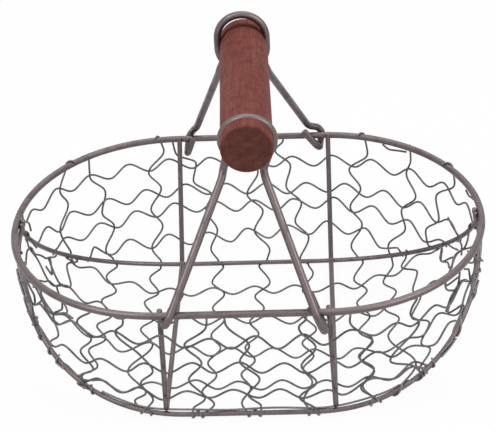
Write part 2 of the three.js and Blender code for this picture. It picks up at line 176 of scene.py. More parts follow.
# Gap between a bail's hook and the rim, and the size of the bends of a jogged foot.
HOOK_GAP = 0.02
JOG_SHOULDER = 3.0
JOG_WIDENING = 2.0

# How far each back wire goes on over the rim, in degrees from the rim's outer side.
BACK_HOOKS = (150.0, 15.0, 150.0, 15.0, 15.0, 15.0, 150.0, 15.0, 150.0)
# Where each front wire's hook ends and begins, and the turn in which a hook moves one travel
# along the rim, in degrees as well.
FRONT_HOOK = (-185.0, -95.0)
HOOK_TURN = 160
# How many steps down the wire its lean is read, by which the hook moves to one side.
LEAN_STEPS = 8
# Below the rim a wall's wire begins this low and nears its hook over this height; a hook stops
# this far short of the rim's ends.
BELOW_RIM = 1.0
RIM_APPROACH = 14.0
SHORT_OF_RIM_END = 2.0
# The floor's wires stop this far short of the keels' middles.
SHORT_OF_KEEL = 2.5
# Turns of a crosswise wire and of a row's end round the front and the back keel, and of a
# crosswise wire that ends at a keel.
CROSS_TURNS = {-1: 1.2, 1: 0.25}
END_TURNS = {-1: 0.8, 1: 0.4}
ENDING_TURNS = 0.6
# A crosswise wire that ends at a keel moves this far outwards along it, or inwards where the
# keel already climbs, which is past this length.
ENDING_TRAVEL = 3.0
KEEL_CLIMBS_PAST = 150
# A full wrap moves along by at least so many travels. A wrap and a row's end stay this far
# short of the keel's tip.
LEAST_TRAVELS = 1.5
WRAP_SHORT_OF_TIP = 6.0
ROW_SHORT_OF_TIP = 1.5
# A row's end is wrapped within so many keel wires of a keel and runs on as its last steps did.
# It settles on the keel in one part in five of its wrap.
WRAPPED_WITHIN = 3
HEADING_STEPS = 5
SETTLES_IN = 5
# Wires laid along the front keel: both ends' places on it, and the angles there in turns
# from below the keel, minus being outwards. The edge strand rises from the keel by its lift
# once in every repeat, and lies down on it over the last stretch at both ends.
EDGE_STRAND = (-96.0, 96.0, 0.43, 0.43)
EDGE_LIFT = 0.8
EDGE_REPEAT = 57.0
EDGE_LANDING = 20.0
LAID_STRANDS = (
    (188.0, 177.0, -0.30, -0.20), (169.0, 159.5, -0.20, -0.30), (167.0, 160.5, -0.08, -0.18),
    (136.5, 124.0, -0.10, -0.22), (134.5, 125.0, -0.26, -0.36), (104.0, 98.0, -0.30, -0.40),
    (-180.0, -163.0, -0.20, -0.34), (-178.0, -165.0, -0.08, -0.22),
    (-157.0, -150.0, -0.16, -0.28), (-127.0, -121.0, -0.12, -0.26), (-110.0, -106.0, -0.10, -0.22),
)
# Short wires of the net's two ends: where they lie, how many wires further in than the
# lengthwise ones, and their bends, as x and height on a wall or length and y on the floor.
# Their layers lie this many wire radii apart, and they bend this much more softly.
END_LAYER_RADII = 2.1
END_SOFTNESS = 1.6
END_SPACING = 0.6
END_WIRES = (
    ("back", 1, ((-149, 87.7), (-148.9, 83.3), (-146.9, 75.9), (-146.4, 69.5))),
    ("floor", 2, ((-175.1, 20.5), (-173.2, 18), (-169.9, 19.6))),
    ("floor", 1, ((-171.4, 15.9), (-174.1, 13.3), (-176.2, 3.7), (-173.5, -8.1))),
    ("floor", 1, ((-171.4, 16.2), (-166.9, 15.3), (-159.4, 24.3), (-153.8, 27.7), (-152, 32),
                  (-146.2, 40), (-145.9, 42.5))),
    ("floor", 2, ((-153.5, 28.1), (-149.9, 24), (-144.6, 18), (-139, 12.8), (-136.6, 14.8))),
    ("floor", 3, ((-153.6, 28), (-150.2, 19.8), (-147.6, 11.9), (-155.7, 13.8))),
    ("floor", 1, ((-155.8, -1.7), (-150.2, 3.7), (-147.3, 9.2), (-143, 8.8), (-140.3, 9.7),
                  (-136.7, 15.8))),
    ("floor", 1, ((-133.4, 54), (-129.2, 49))),
    ("front", 1, ((-139, 81.2), (-136.6, 76), (-133.1, 72.6), (-133.8, 64.5), (-138, 55.5),
                  (-138.6, 48), (-135, 44.3))),
    ("front", 2, ((-134.8, 76.8), (-130.7, 81.9), (-127.9, 80.5), (-129.1, 71.1), (-134.2, 62.1))),
    ("front", 1, ((-127, 81.4), (-124.3, 75), (-120.6, 71.1), (-119.5, 69.3), (-110.1, 77),
                  (-105.1, 74.6))),
    ("front", 1, ((-129, 69.4), (-124.3, 66), (-119.1, 62.4), (-116.4, 61.8), (-108.2, 70.9))),
    ("front", 2, ((-119.4, 69.6), (-113.2, 76.8), (-112.2, 83.7))),
    ("floor", 1, ((146.2, 42.5), (149.5, 34.6), (154.2, 25.5))),
    ("floor", 2, ((156.7, 32), (160.1, 27.1), (161.6, 19.8), (159, 11.1))),
    ("floor", 1, ((171.2, 21.5), (168, 17.6), (162.3, 16.1), (152.6, 23.9), (148.3, 23.4),
                  (145.4, 14.8))),
    ("floor", 2, ((140.6, 50.1), (140.3, 44), (137.2, 34.9), (139, 29), (144.2, 21.9),
                  (144.3, 14.9))),
    ("back", 1, ((134.5, 56), (137.4, 51.8), (140.2, 49.4))),
    ("back", 1, ((144.4, 86), (145.8, 84.5), (148, 87.2))),
    ("back", 1, ((92.5, 87.6), (96.5, 84.8), (108.5, 86.8))),
    ("front", 1, ((121.6, 87.7), (121.5, 81.1), (123.3, 77.2), (129.5, 71))),
    ("front", 1, ((131.3, 84.6), (131.1, 75.5), (130.6, 69.9), (125.3, 63.5))),
    ("front", 1, ((135, 82.4), (138.4, 77.6), (140.4, 64.7))),
    ("front", 2, ((141, 61.9), (134.9, 72.4), (131.3, 70.9), (127.3, 66.7), (124.3, 56.6))),
    ("front", 1, ((135.6, 87.7), (142.6, 75.7), (143.6, 79))),
)

# Bends of the crosswise wires on the back wall: height over the keel, then x.
BACK_CROSS = (
    ((29.2, -124.7), (49.9, -130.3), (63.4, -124.8), (75.4, -129), (87.7, -124.3)),
    ((12.4, -98.6), (20.4, -103.6), (35.3, -97), (47.2, -104.5), (60.8, -101.5), (75.1, -110.8),
     (88.6, -110.4)),
    ((3.4, -66.5), (14, -72.7), (28.8, -64.4), (41.5, -72), (55.6, -64.2), (67.7, -72.4),
     (81.7, -61.1), (88.3, -63.2)),
    ((1.7, -26.1), (9.9, -31.2), (23.6, -25.9), (38.2, -33.6), (49.5, -29.1), (59.2, -41.6),
     (72.6, -39), (78.3, -52.6), (87.6, -55)),
    ((1.5, 8.9), (8.4, 11.1), (22.4, 0.6), (36.7, 7.2), (48.7, -3.8), (65, 4.6), (81.7, -4.4),
     (87.5, -2)),
    ((2.1, 32.6), (16.8, 39.3), (28.6, 29.8), (41.4, 34.7), (53.8, 24.1), (68.7, 27.7),
     (79.5, 17), (85.3, 22.9)),
    ((4.5, 72.9), (10.8, 68.9), (27.9, 76.8), (39.2, 68.7), (53.1, 76.2), (65.7, 68.4),
     (77.8, 81.2), (88, 79.5)),
    ((10.6, 94.9), (15.5, 94.3), (31.6, 105.9), (43, 103.3), (56.7, 112.8), (70.4, 106.7),
     (80.5, 109.5), (88.3, 108.9)),
    ((27.1, 120), (35.3, 118.9), (48.5, 127.2), (62.4, 125.3), (79.8, 136.2), (90.3, 134.3)),
)
# The same on the front wall.
FRONT_CROSS = (
    ((36.3, -131.3), (60.4, -140.5), (66.8, -132.5), (88.5, -141)),
    ((13.6, -101.4), (23.9, -105.1), (36.6, -95), (49.1, -101.7), (65.6, -92.9), (76.5, -100.9),
     (87.9, -90.7)),
    ((8.3, -63.8), (16.5, -59.6), (31.2, -66), (43.4, -57.5), (58, -64.2), (76, -77.3),
     (82.4, -72.3), (89.5, -72.2)),
    ((9.1, -35.3), (17.7, -27.4), (35.3, -36.4), (50.4, -27.5), (66.7, -36.9), (80.7, -22.9),
     (91.1, -22)),
    ((10.5, 6.8), (19.9, -0.6), (34.4, 7), (51, -4.4), (65.2, 2), (82.9, -11.6), (91.2, -11.9)),
    ((6.5, 40.3), (16.5, 30.9), (30.4, 41.6), (45.6, 32.6), (62.1, 41.6), (78.8, 31.7),
     (84.9, 36.4), (89, 36)),
    ((11.1, 76.1), (21.4, 68.4), (35.3, 76.5), (49.7, 67.5), (64.2, 74.9), (81.3, 61.9),
     (91.8, 63.9)),
    ((19, 106), (30.1, 99.9), (41.3, 85.9), (67.2, 103.2), (76.5, 97.7), (88.6, 104.7)),
    ((51.8, 141.3), (68.2, 137.6), (81.5, 141.7), (87.8, 140.1)),
)
# Bends of the crosswise wires under the floor: y, then the length along the keel.
FLOOR_CROSS = (
    ((-14.8, -188.4), (-7.6, -181.8), (9.2, -187.9), (14, -184.8)),
    ((-58.9, -132.2), (-49.3, -134.3), (-36.1, -129.6), (-17.3, -136.2), (-4.1, -126.7),
     (16.3, -138.2), (25.9, -127.8), (47.5, -133.8), (58.7, -126.7)),
    ((-74.8, -102.2), (-64.8, -109.1), (-48, -100.1), (-34.4, -107.6), (-14.4, -97.7),
     (-3.6, -105), (14, -96.1), (26.8, -104.7), (44, -95.8), (57.2, -104.2), (74, -97.8)),
    ((-79.7, -66.6), (-70.7, -73.8), (-61.9, -67.3), (-42.1, -80.5), (-10.6, -66.6),
     (5.1, -75.8), (19.8, -67.5), (37.3, -75.5), (51, -66.7), (68, -74), (82, -67.2)),
    ((-81, -30.8), (-71.4, -23.4), (-58.6, -31.8), (-42.2, -23), (-29, -29.3), (-13.4, -21.4),
     (1, -28.3), (19.8, -19.8), (33.8, -28.5), (51.4, -20.8), (67, -30), (85.8, -22.6)),
    ((-85.8, -1.8), (-74.6, -6), (-59.4, -0.5), (-44.2, -7), (-29, 1.8), (-13.8, -5), (1.4, 3.9),
     (16.2, -2.5), (32.6, 7.2), (47.4, 0.7), (64.6, 11), (85.8, 3.1)),
    ((-85.8, 38.6), (-73, 33.3), (-53.8, 39.1), (-39.4, 33.3), (-25, 40.5), (-10.6, 33),
     (5.4, 42.7), (23.4, 33.9), (39.4, 42), (53.8, 33.9), (75.8, 41.7), (85.8, 38.6)),
    ((-82.7, 79.4), (-64.7, 70.9), (-48.3, 79), (-31.1, 69.5), (-17.1, 79.8), (-2.3, 70.8),
     (13.3, 79), (32.1, 70.9), (45.3, 78.5), (62.5, 70), (81.7, 77.3)),
    ((-70.7, 110), (-65.9, 107.8), (-48.7, 117.3), (-37.9, 111.5), (-19.5, 119), (-3.9, 107.3),
     (16.5, 115.6), (26.1, 110.4), (46.1, 115.2), (61.3, 104.2), (69.7, 108.4)),
    ((-52.8, 137.5), (-48.8, 135.2), (-30, 147.4), (-23.2, 133.7), (3.2, 147.8), (8, 134.7),
     (30.4, 145.4), (39.2, 134.6), (51.6, 137.1)),
    ((-24.2, 171.6), (-9.8, 168.6), (2.2, 179.4), (23.8, 179.4)),
    ((-71.5, 89.4), (-51.1, 106.4), (-13.7, 90), (0.8, 98.6), (18.5, 89.5), (34.9, 98.6),
     (52.6, 90.2), (71.1, 98.4), (77.9, 98.1)),
)
# Bends of the lengthwise wires on the back wall: x, then height over the keel.
BACK_ROWS = (
    ((-147, 77.3), (-144.9, 79.7), (-139.2, 72.9), (-132.1, 79.5), (-122, 71.6), (-111.7, 76.9),
     (-97.9, 69.6), (-86.2, 76.3), (-71.2, 69), (-58.4, 76.1), (-41.8, 68.8), (-29.5, 76.2),
     (-13.3, 69.7), (-0.6, 76), (15.9, 68.5), (28.6, 75.4), (44.4, 68.2), (56.7, 75.6),
     (72.7, 68.3), (84, 75.1), (98.6, 67.5), (110.2, 75.4), (121.2, 68.2), (131.2, 76.8),
     (138.4, 68.7), (143.8, 75.7), (146.8, 68.1)),
    ((-143.5, 52.5), (-138.5, 59.4), (-131, 49.5), (-124.7, 58.2), (-111.6, 49.6),
     (-101.2, 56.4), (-87.1, 48.6), (-75.5, 56.4), (-60.4, 49.3), (-47.4, 57.8), (-31.2, 50),
     (-18.5, 57.5), (-3.5, 49.7), (10.4, 57.2), (25, 49), (38.1, 56.5), (53.5, 49.5),
     (65.4, 56.1), (80.3, 48), (92.8, 55.1), (104.7, 46.5), (116.3, 54.8), (125.8, 46.1),
     (134.2, 53.4), (140.2, 45)),
    ((-133.5, 39.7), (-129.1, 43.3), (-117.5, 34.8), (-107.5, 41.5), (-94.3, 34), (-83.3, 42.8),
     (-68.1, 35.9), (-55.9, 44.7), (-39.7, 37.5), (-26.6, 44.9), (-11.6, 37.4), (0.7, 45.1),
     (16.6, 37.2), (28.8, 45.3), (44.7, 38.1), (57.7, 46), (71.4, 35.9), (84.7, 42.5),
     (96.4, 32.4), (108.7, 39), (118.8, 28.2), (129.9, 35.7), (134, 27)),
    ((-111.5, 26.9), (-99.2, 16.3), (-88.6, 23.8), (-72.5, 14), (-61.1, 22.7), (-45.4, 14.1),
     (-32.7, 22.7), (-16.5, 15.3), (-4.6, 24.9), (10.8, 17.4), (24.3, 26.4), (39.7, 19.2),
     (52.4, 28.9), (66.8, 20.1), (79.1, 25.9), (89.7, 13.6), (101.4, 16.8)),
)
# The same on the front wall.
FRONT_ROWS = (
    ((-145.8, 63.1), (-140.9, 72.4), (-134.2, 63.9), (-126, 72.4), (-117.3, 63.1),
     (-104.6, 74.1), (-91.2, 66.1), (-78.7, 75.2), (-64.9, 65.9), (-49.9, 74.3), (-37.3, 62.8),
     (-21.5, 70.4), (-9.2, 60.9), (5.8, 71.8), (18.9, 59.9), (34.7, 72.3), (46.3, 62.4),
     (62.7, 74.3), (77.1, 66), (89.3, 72.3), (99.8, 64.6), (113.2, 73.4), (122.8, 64.4),
     (132.2, 76.5), (139.7, 66.1), (144.1, 73.4), (145.7, 70.8)),
    ((-135.4, 43.2), (-132.9, 45.7), (-123.2, 37.3), (-113.9, 45.9), (-101.4, 37.5),
     (-89.1, 46.7), (-74.8, 39.1), (-62.4, 48.7), (-49.4, 40), (-33.2, 49.2), (-20.9, 39.4),
     (-4.6, 48.7), (8.4, 38.5), (22.3, 47.1), (35.3, 37.3), (52, 47.7), (61.5, 40.5), (78, 51),
     (88.7, 42.2), (98.2, 46.7), (115.1, 37.5), (124.4, 48.6), (129, 45.6)),
    ((-112, 20.8), (-106, 16.9), (-93.3, 26.2), (-78.8, 18.2), (-67.9, 25.3), (-53.9, 14.8),
     (-38.5, 23.2), (-24.3, 16.4), (-10, 23.6), (5.8, 15.4), (18.9, 23.2), (33.1, 14.2),
     (48.6, 21.2), (57.8, 15.5), (75.4, 26.9), (89.7, 21.4), (99.8, 27), (106.5, 22.8)),
)
# Bends of the lengthwise wires on the floor: length along the keel, then y.
FLOOR_ROWS = (
    ((-180, 55.2), (-170.9, 65.9), (-157.1, 50.9), (-144, 60.6), (-127.4, 50.6), (-114, 60.3),
     (-101.3, 48.9), (-85.5, 58.3), (-72, 48.2), (-58.6, 56.9), (-43.9, 47.7), (-28.9, 57.7),
     (-14.6, 48.8), (0.4, 58.5), (13.9, 48.9), (28.5, 58.6), (42.7, 49.1), (58.2, 58.4),
     (70.5, 48.1), (85.9, 59.1), (99.3, 51.6), (116.4, 63.9), (131, 54.3), (143.3, 61.6),
     (159.1, 51.6), (170.2, 63.7), (178.5, 51)),
    ((-171, 16), (-161.2, 18.9), (-143.4, 10.2), (-130, 22.3), (-116.2, 14.6), (-106.5, 22.9),
     (-92.4, 10.1), (-75, 21.9), (-60.3, 11.1), (-46.1, 22.2), (-32.2, 11.5), (-17.6, 21.8),
     (-3, 12.5), (9.7, 21.3), (25.5, 10.6), (39.3, 22.8), (54, 11.2), (67, 21.5), (82.5, 10.2),
     (97.5, 22.2), (112.5, 13.6), (125.6, 21), (137.4, 13), (150.5, 25.9), (169.5, 7.5)),
    ((-173.4, -21.1), (-157.1, -9.7), (-139.3, -19.6), (-128.2, -10.8),
     (-110, -20.9), (-99.7, -15.8), (-87.5, -26.6), (-68.1, -10.7), (-55, -22.6), (-42.4, -13),
     (-27.7, -24.9), (-14.3, -15.4), (0, -26.9), (13.5, -17.1), (28.9, -29.2), (40.4, -19.7),
     (57, -32.3), (68.1, -22.8), (87.4, -34), (103.2, -27.4), (113.6, -31.9), (126.6, -18.2),
     (143.3, -35.6), (153, -23.5), (163, -17.5)),
    ((-180, -57.7), (-163.5, -66.4), (-148.9, -53.9), (-132.7, -62.5), (-122.3, -60.4),
     (-108.5, -67.7), (-95.5, -61.9), (-83.5, -70), (-63.8, -54.5), (-50.2, -59.8),
     (-36.4, -51.1), (-21.4, -61.6), (-8.7, -53.6), (6.4, -63.2), (19.5, -53.2), (33.7, -62.7),
     (47.6, -54.6), (62.2, -63.9), (75, -56.3), (89.6, -65.2), (105, -54.9), (117.7, -66.8),
     (135.1, -54.4), (147, -66.8), (160.5, -57.6), (178.5, -65.5)),
)
# The solids have this many floor stretches; the table's last one is only here.
SOLID_FLOOR_WIRES = 11
# Which wall and floor stretches are one wire: front wall, floor and back wall.
CROSS_PATHS = (
    (None, 0, None), (0, 1, 0), (1, 2, 1), (2, 3, 2), (3, 4, 3), (4, 5, 4), (5, 6, 5),
    (6, 7, 6), (7, 11, 7), (None, 8, None), (8, 9, 8), (None, 10, None),
)

# Weld beads: half sizes beside the rim, on the keels and at the keels' tips. A rim weld lies
# this share of the rib's distance inside the rim; a tip weld lies this far along the keel from
# its end and this far further out and lower.
RIM_WELD = (2.0, 1.0, 1.7)
KEEL_WELD = (1.9, 1.1, 1.1)
TIP_WELD = (0.7, 1.2, 1.3)
WELD_LUMPS = 0.1
WELD_SIDES, WELD_RINGS = 16, 9
RIM_WELD_SHARE = 0.55
TIP_WELD_BACK = 1.0
TIP_WELD_OUT = 1.5
TIP_WELD_DROP = 0.6

# The stage: white, half of the floor's length, how pale the floor looks, the even light's
# strength, the point that the lamps shine at, and each lamp's name, place, size and power.
WHITE = (1, 1, 1, 1)
FLOOR_HALF = 6.0
FLOOR_PALENESS = 0.93
EVEN_LIGHT = 0.45
LIT_POINT = (0.0, 0.0, 0.08)
LAMPS = (
    ("key", (-0.9, -0.8, 1.5), 1.1, 11.0),
    ("fill", (1.2, -0.7, 1.2), 1.1, 11.0),
    ("top", (0.1, 0.7, 1.6), 1.4, 8.0),
)


def length(name, millimetres, about):
    """A length in metres, given by its default in millimetres."""
    return bpy.props.FloatProperty(
        name=name, description=about, default=millimetres * MM,
        min=0.0, unit="LENGTH", precision=5,
    )


def colour(name, red, green, blue, about):
    """A colour, given by its default as seen on the screen, from 0 to 255."""
    seen = np.array([red, green, blue]) / 255.0
    linear = np.where(seen <= 0.04045, seen / 12.92, ((seen + 0.055) / 1.055) ** 2.4)
    return bpy.props.FloatVectorProperty(
        name=name, description=about, default=[float(v) for v in linear],
        min=0.0, max=1.0, size=3, subtype="COLOR",
    )


class BasketFrameSizes(bpy.types.PropertyGroup):
    """Sizes of the heavy wires."""

    rim_wire: length("Rim wire", 4.4, "Thickness of the rim's wire")
    rim_half_length: length("Rim half length", 149.9, "From the middle to the rim's end")
    rim_half_width: length("Rim half width", 111.0, "From the middle to the rim's straight side")
    rim_straight_half: length("Rim straight half", 49.0, "Half of the rim's straight sides")
    rim_above_keel: length("Rim above keel", 90.0, "Height of the rim over the keel wires")
    keel_wire: length("Keel wire", 3.2, "Thickness of the two keel wires")
    wall_flare: length("Wall flare", 22.7, "How much wider the rim is than the floor, each side")
    rib_wire: length("Rib wire", 3.4, "Thickness of the two ribs")
    bail_wire: length("Bail wire", 4.85, "Thickness of the two bails")


class BasketNetSizes(bpy.types.PropertyGroup):
    """Sizes of the crimped net."""

    wire: length("Net wire", 1.36, "Thickness of the net's wires")
    wrap_travel: length("Wrap travel", 5.0, "How far a turn moves along the wire it holds")
    bend_softness: length("Bend softness", 0.9, "How softly the net's wires bend")


class BasketGripSizes(bpy.types.PropertyGroup):
    """Sizes of the turned wooden grip."""

    diameter: length("Diameter", 31.2, "Thickness of the grip")
    length: length("Length", 152.0, "Length of the grip")
    above_rim: length("Above rim", 90.8, "Height of the grip's axis over the rim")
    groove_span: length("Groove span", 130.0, "From the middle of one groove to the other's")
    front_groove: length("Front groove", 5.8, "Width of the front groove at the surface")
    back_groove: length("Back groove", 5.4, "Width of the back groove at the surface")
    front_depth: length("Front groove's depth", 4.0, "Depth of the front groove")
    back_depth: length("Back groove's depth", 3.4, "Depth of the back groove")
    back_short: length("Back end short", 0.8, "How much shorter the back end is")
    end_round: length("End rounding", 1.2, "Rounding of the end faces' edges")


class BasketColours(bpy.types.PropertyGroup):
    """Colours of the wires, the wood and the floor."""

    frame_base: colour("Frame wire", 112, 101, 102, "Plain colour of the heavy wires")
    frame_dark: colour("Frame wire, dark", 88, 79, 81, "Dull patches on the heavy wires")
    frame_light: colour("Frame wire, light", 142, 131, 132, "Rubbed places on the heavy wires")
    # The net is the frame's steel: its colours are painted darker, a painted shade of the thin
    # wires, and its light colour is also the painted highlight on its wraps.
    net_base: colour("Net wire", 100, 96, 97, "Plain colour of the net")
    net_dark: colour("Net wire, dark", 73, 70, 71, "Dull patches on the net")
    net_light: colour("Net wire, light", 132, 126, 127, "Rubbed places on the net")
    wood_base: colour("Wood", 118, 62, 54, "Plain colour of the grip")
    wood_dark: colour("Wood, dark", 70, 32, 29, "Dark grain lines")
    wood_light: colour("Wood, light", 140, 82, 72, "Light grain lines")
    end_base: colour("End grain", 92, 51, 45, "Plain colour of the grip's end faces")
    end_dark: colour("End grain, dark", 50, 25, 23, "Pores in the end faces")
    end_light: colour("End grain, light", 112, 66, 58, "Light rings in the end faces")
    floor: colour("Floor", 246, 246, 246, "Colour of the floor")


class BasketView(bpy.types.PropertyGroup):
    """Where the camera stands and looks."""

    lens: bpy.props.FloatProperty(
        name="Lens", description="Focal length on a 36 mm wide sensor",
        default=119.8, min=1.0, unit="CAMERA",
    )
    distance: length("Distance", 1064.2, "From the point looked at to the camera")
    target: bpy.props.FloatVectorProperty(
        name="Target", description="Point that the camera looks at",
        default=(0.00039, 0.0, 0.09417), size=3, subtype="TRANSLATION", unit="LENGTH",
    )
    elevation: bpy.props.FloatProperty(
        name="Elevation", description="How far the camera looks down",
        default=math.radians(30.58), subtype="ANGLE",
    )
    azimuth: bpy.props.FloatProperty(
        name="Azimuth", description="How far the camera stands to the right of the front",
        default=math.radians(2.36), subtype="ANGLE",
    )
    roll: bpy.props.FloatProperty(
        name="Roll", description="How far the camera is turned about its line of sight",
        default=math.radians(-2.68), subtype="ANGLE",
    )


def unit(vectors):
    """Each vector divided by its length."""
    return vectors / np.linalg.norm(vectors, axis=-1, keepdims=True)


def resampled(path, spacing):
    """The path as points a near-equal distance apart: its columns against its own running
    length, read off at equal steps. A fourth column is carried along like a coordinate."""
    path = np.asarray(path, float)
    steps = np.linalg.norm(np.diff(path[:, :3], axis=0), axis=1)
    keep = np.concatenate([[True], steps > 1e-9])
    path = path[keep]
    run = np.concatenate([[0.0], np.cumsum(steps[steps > 1e-9])])
    count = max(2, int(math.ceil(run[-1] / spacing)) + 1)
    places = np.linspace(0.0, run[-1], count)
    return np.stack([np.interp(places, run, column) for column in path.T], axis=1)


def softened(path, spacing, softness):
    """A bent path made smooth: evenly spaced points, each replaced by the average of its
    neighbours with Gaussian weights exp(-d d / (2 s s)). Both ends keep their places,
    because the path is continued past them by its own point reflection."""
    points = resampled(path, spacing)
    reach = min(len(points) - 1, int(math.ceil(3 * softness / spacing)))
    weights = np.exp(-0.5 * (np.arange(-reach, reach + 1) * spacing / softness) ** 2)
    weights /= weights.sum()
    before = 2 * points[0] - points[reach:0:-1]
    after = 2 * points[-1] - points[-2:-reach - 2:-1]
    longer = np.vstack([before, points, after])
    return np.stack([np.convolve(column, weights, "valid") for column in longer.T], axis=1)


def marked(path, wrapped):
    """A path with a fourth column: 1 where the wire is wrapped round another, else 0."""
    return np.column_stack([path[:, :3], np.full(len(path), float(wrapped))])


def carried_across(tangent):
    """Directions across a path that turn no more than the path does. The turn from one
    tangent t to the next, u, is the matrix I + K + K K / (1 + t.u), K being the cross
    product with t x u; the running product of these, taken in doubling strides, carries
    the first direction along the whole path."""
    t, u = tangent[:-1], tangent[1:]
    cross = np.cross(t, u)
    skew = np.zeros((len(cross), 3, 3))
    skew[:, 0, 1], skew[:, 0, 2], skew[:, 1, 2] = -cross[:, 2], cross[:, 1], -cross[:, 0]
    skew[:, 1, 0], skew[:, 2, 0], skew[:, 2, 1] = cross[:, 2], -cross[:, 1], cross[:, 0]
    share = 1.0 / (1.0 + (t * u).sum(1))
    turn = np.eye(3) + skew + skew @ skew * share[:, None, None]
    stride = 1
    while stride < len(turn):
        turn = np.concatenate([turn[:stride], turn[stride:] @ turn[:-stride]])
        stride *= 2
    first = np.zeros(3)
    first[np.argmin(np.abs(tangent[0]))] = 1.0
    first = unit(first - tangent[0] * (first @ tangent[0]))
    return np.vstack([first, turn @ first])


def round_wire(path, radius, sides, closed=False):
    """A round wire: P(i, k) = C(i) + R(i) (cos a A(i) + sin a B(i)) with a = 2 pi k / sides,
    C the path, A and B the carried directions across it. Open ends are cut square with a
    small bevel, as slightly smaller rings, and a point closes them. The numbers that go with each
    point are its length along the wire, its cosine and sine around it, and whether it is
    wrapped."""
    path = np.asarray(path, float)
    wrapped = path[:, 3] if path.shape[1] > 3 else np.zeros(len(path))
    path = path[:, :3]
    step = unit(np.diff(np.vstack([path, path[:1]]) if closed else path, axis=0))
    if closed:
        tangent = unit(step + np.roll(step, 1, axis=0))
    else:
        tangent = unit(np.vstack([step[:1], step[1:] + step[:-1], step[-1:]]))
    across = carried_across(tangent)
    if closed:
        # The small turn left over after one round is shared out along the whole path.
        back = across[-1] - tangent[0] * (across[-1] @ tangent[0])
        left = math.atan2(np.cross(unit(back), across[0]) @ tangent[0], unit(back) @ across[0])
        angle = np.linspace(0.0, left, len(path))[:, None]
        across = across * np.cos(angle) + np.cross(tangent, across) * np.sin(angle)
    third = np.cross(tangent, across)
    radii = np.full(len(path), radius)
    run = np.concatenate([[0.0], np.cumsum(np.linalg.norm(np.diff(path, axis=0), axis=1))])
    if not closed:
        bevel = BEVEL * radius
        rows = np.concatenate([[0, 0], np.arange(1, len(path) - 1), [-1, -1]])
        path, across, third, tangent = path[rows], across[rows], third[rows], tangent[rows]
        path[1] += tangent[1] * bevel
        path[-2] -= tangent[-2] * bevel
        run, radii, wrapped = run[rows], radii[rows], wrapped[rows]
        radii[[0, -1]] *= 1 - BEVEL
    turn = np.arange(sides) * 2 * math.pi / sides
    ring = (np.cos(turn)[None, :, None] * across[:, None]
            + np.sin(turn)[None, :, None] * third[:, None])
    points = (path[:, None] + ring * radii[:, None, None]).reshape(-1, 3)
    rows = len(path)
    i = np.arange(rows if closed else rows - 1)[:, None]
    k = np.arange(sides)[None, :]
    a, b = i * sides, ((i + 1) % rows) * sides
    n = (k + 1) % sides
    faces = np.stack([a + k, a + n, b + n, b + k], axis=-1).reshape(-1, 4).tolist()
    around = np.stack([
        np.repeat(run * MM, sides),
        np.tile(np.cos(turn), rows) * radius * MM,
        np.tile(np.sin(turn), rows) * radius * MM,
        np.repeat(wrapped, sides),
    ], axis=1)
    if not closed:
        points = np.vstack([points, path[:1], path[-1:]])
        tips = np.array([[run[0] * MM, 0, 0, wrapped[0]], [run[-1] * MM, 0, 0, wrapped[-1]]])
        around = np.vstack([around, tips])
        ring_0 = np.arange(sides)
        next_0 = (ring_0 + 1) % sides
        first, last = rows * sides, rows * sides + 1
        end = (rows - 1) * sides
        faces += np.stack([np.full(sides, first), next_0, ring_0], axis=1).tolist()
        faces += np.stack([np.full(sides, last), end + ring_0, end + next_0], axis=1).tolist()
    return points, faces, around


def wrap_round(centre, start, other, radius, angles):
    """A wrap: P(t) = C(t) + radius(t) (cos t S + sin t O), about the places C on the wire that
    it holds, from direction S towards direction O."""
    turn = angles[:, None]
    spin = np.cos(turn) * start + np.sin(turn) * other
    return centre + spin * np.reshape(radius, (-1, 1))


def turned_faces(rows, sides):
    """Faces of a shape of rings: quads between them, then a fan at the first ring and one at
    the last. The fans' two middle points come after the rings."""
    i, k = np.arange(rows - 1)[:, None] * sides, np.arange(sides)[None]
    n = (k + 1) % sides
    faces = np.stack([i + k, i + sides + k, i + sides + n, i + n], axis=-1)
    ring, after = np.arange(sides), (np.arange(sides) + 1) % sides
    first, last, end = rows * sides, rows * sides + 1, (rows - 1) * sides
    fans = np.stack([np.full(sides, first), ring, after], axis=1).tolist()
    fans += np.stack([np.full(sides, last), end + after, end + ring], axis=1).tolist()
    return faces.reshape(-1, 4).tolist() + fans


def joined(meshes):
    """Several meshes as one: points stacked and faces renumbered."""
    points, faces, around, base = [], [], [], 0
    for mesh_points, mesh_faces, mesh_around in meshes:
        points.append(mesh_points)
        around.append(mesh_around)
        faces += [[v + base for v in face] for face in mesh_faces]
        base += len(mesh_points)
    return np.vstack(points), faces, np.vstack(around)


def add_piece(name, mesh_data, materials, body, nodes=(), face_materials=None):
    """Puts a worked-out surface into Blender as one smooth-shaded piece of the basket."""
    points, faces, around = mesh_data
    mesh = bpy.data.meshes.new(name)
    mesh.from_pydata((points * MM).tolist(), [], faces)
    mesh.polygons.foreach_set("use_smooth", np.ones(len(mesh.polygons), bool))
    if around is not None:
        attribute = mesh.attributes.new(WIRE_COORDINATES, "FLOAT_VECTOR", "POINT")
        attribute.data.foreach_set("vector", around[:, :3].astype(np.float32).ravel())
        wrapped = mesh.attributes.new(WRAPPED, "FLOAT", "POINT")
        wrapped.data.foreach_set("value", around[:, 3].astype(np.float32))
    for material in materials:
        mesh.materials.append(material)
    if face_materials is not None:
        mesh.polygons.foreach_set("material_index", face_materials.astype(np.int32))
    mesh.update()
    if mesh.validate():
        raise RuntimeError(f"{name} has faces that Blender had to mend")
    piece = bpy.data.objects.new(name, mesh)
    bpy.context.scene.collection.objects.link(piece)
    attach(piece, body)
    if nodes:
        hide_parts(*nodes)
    return piece


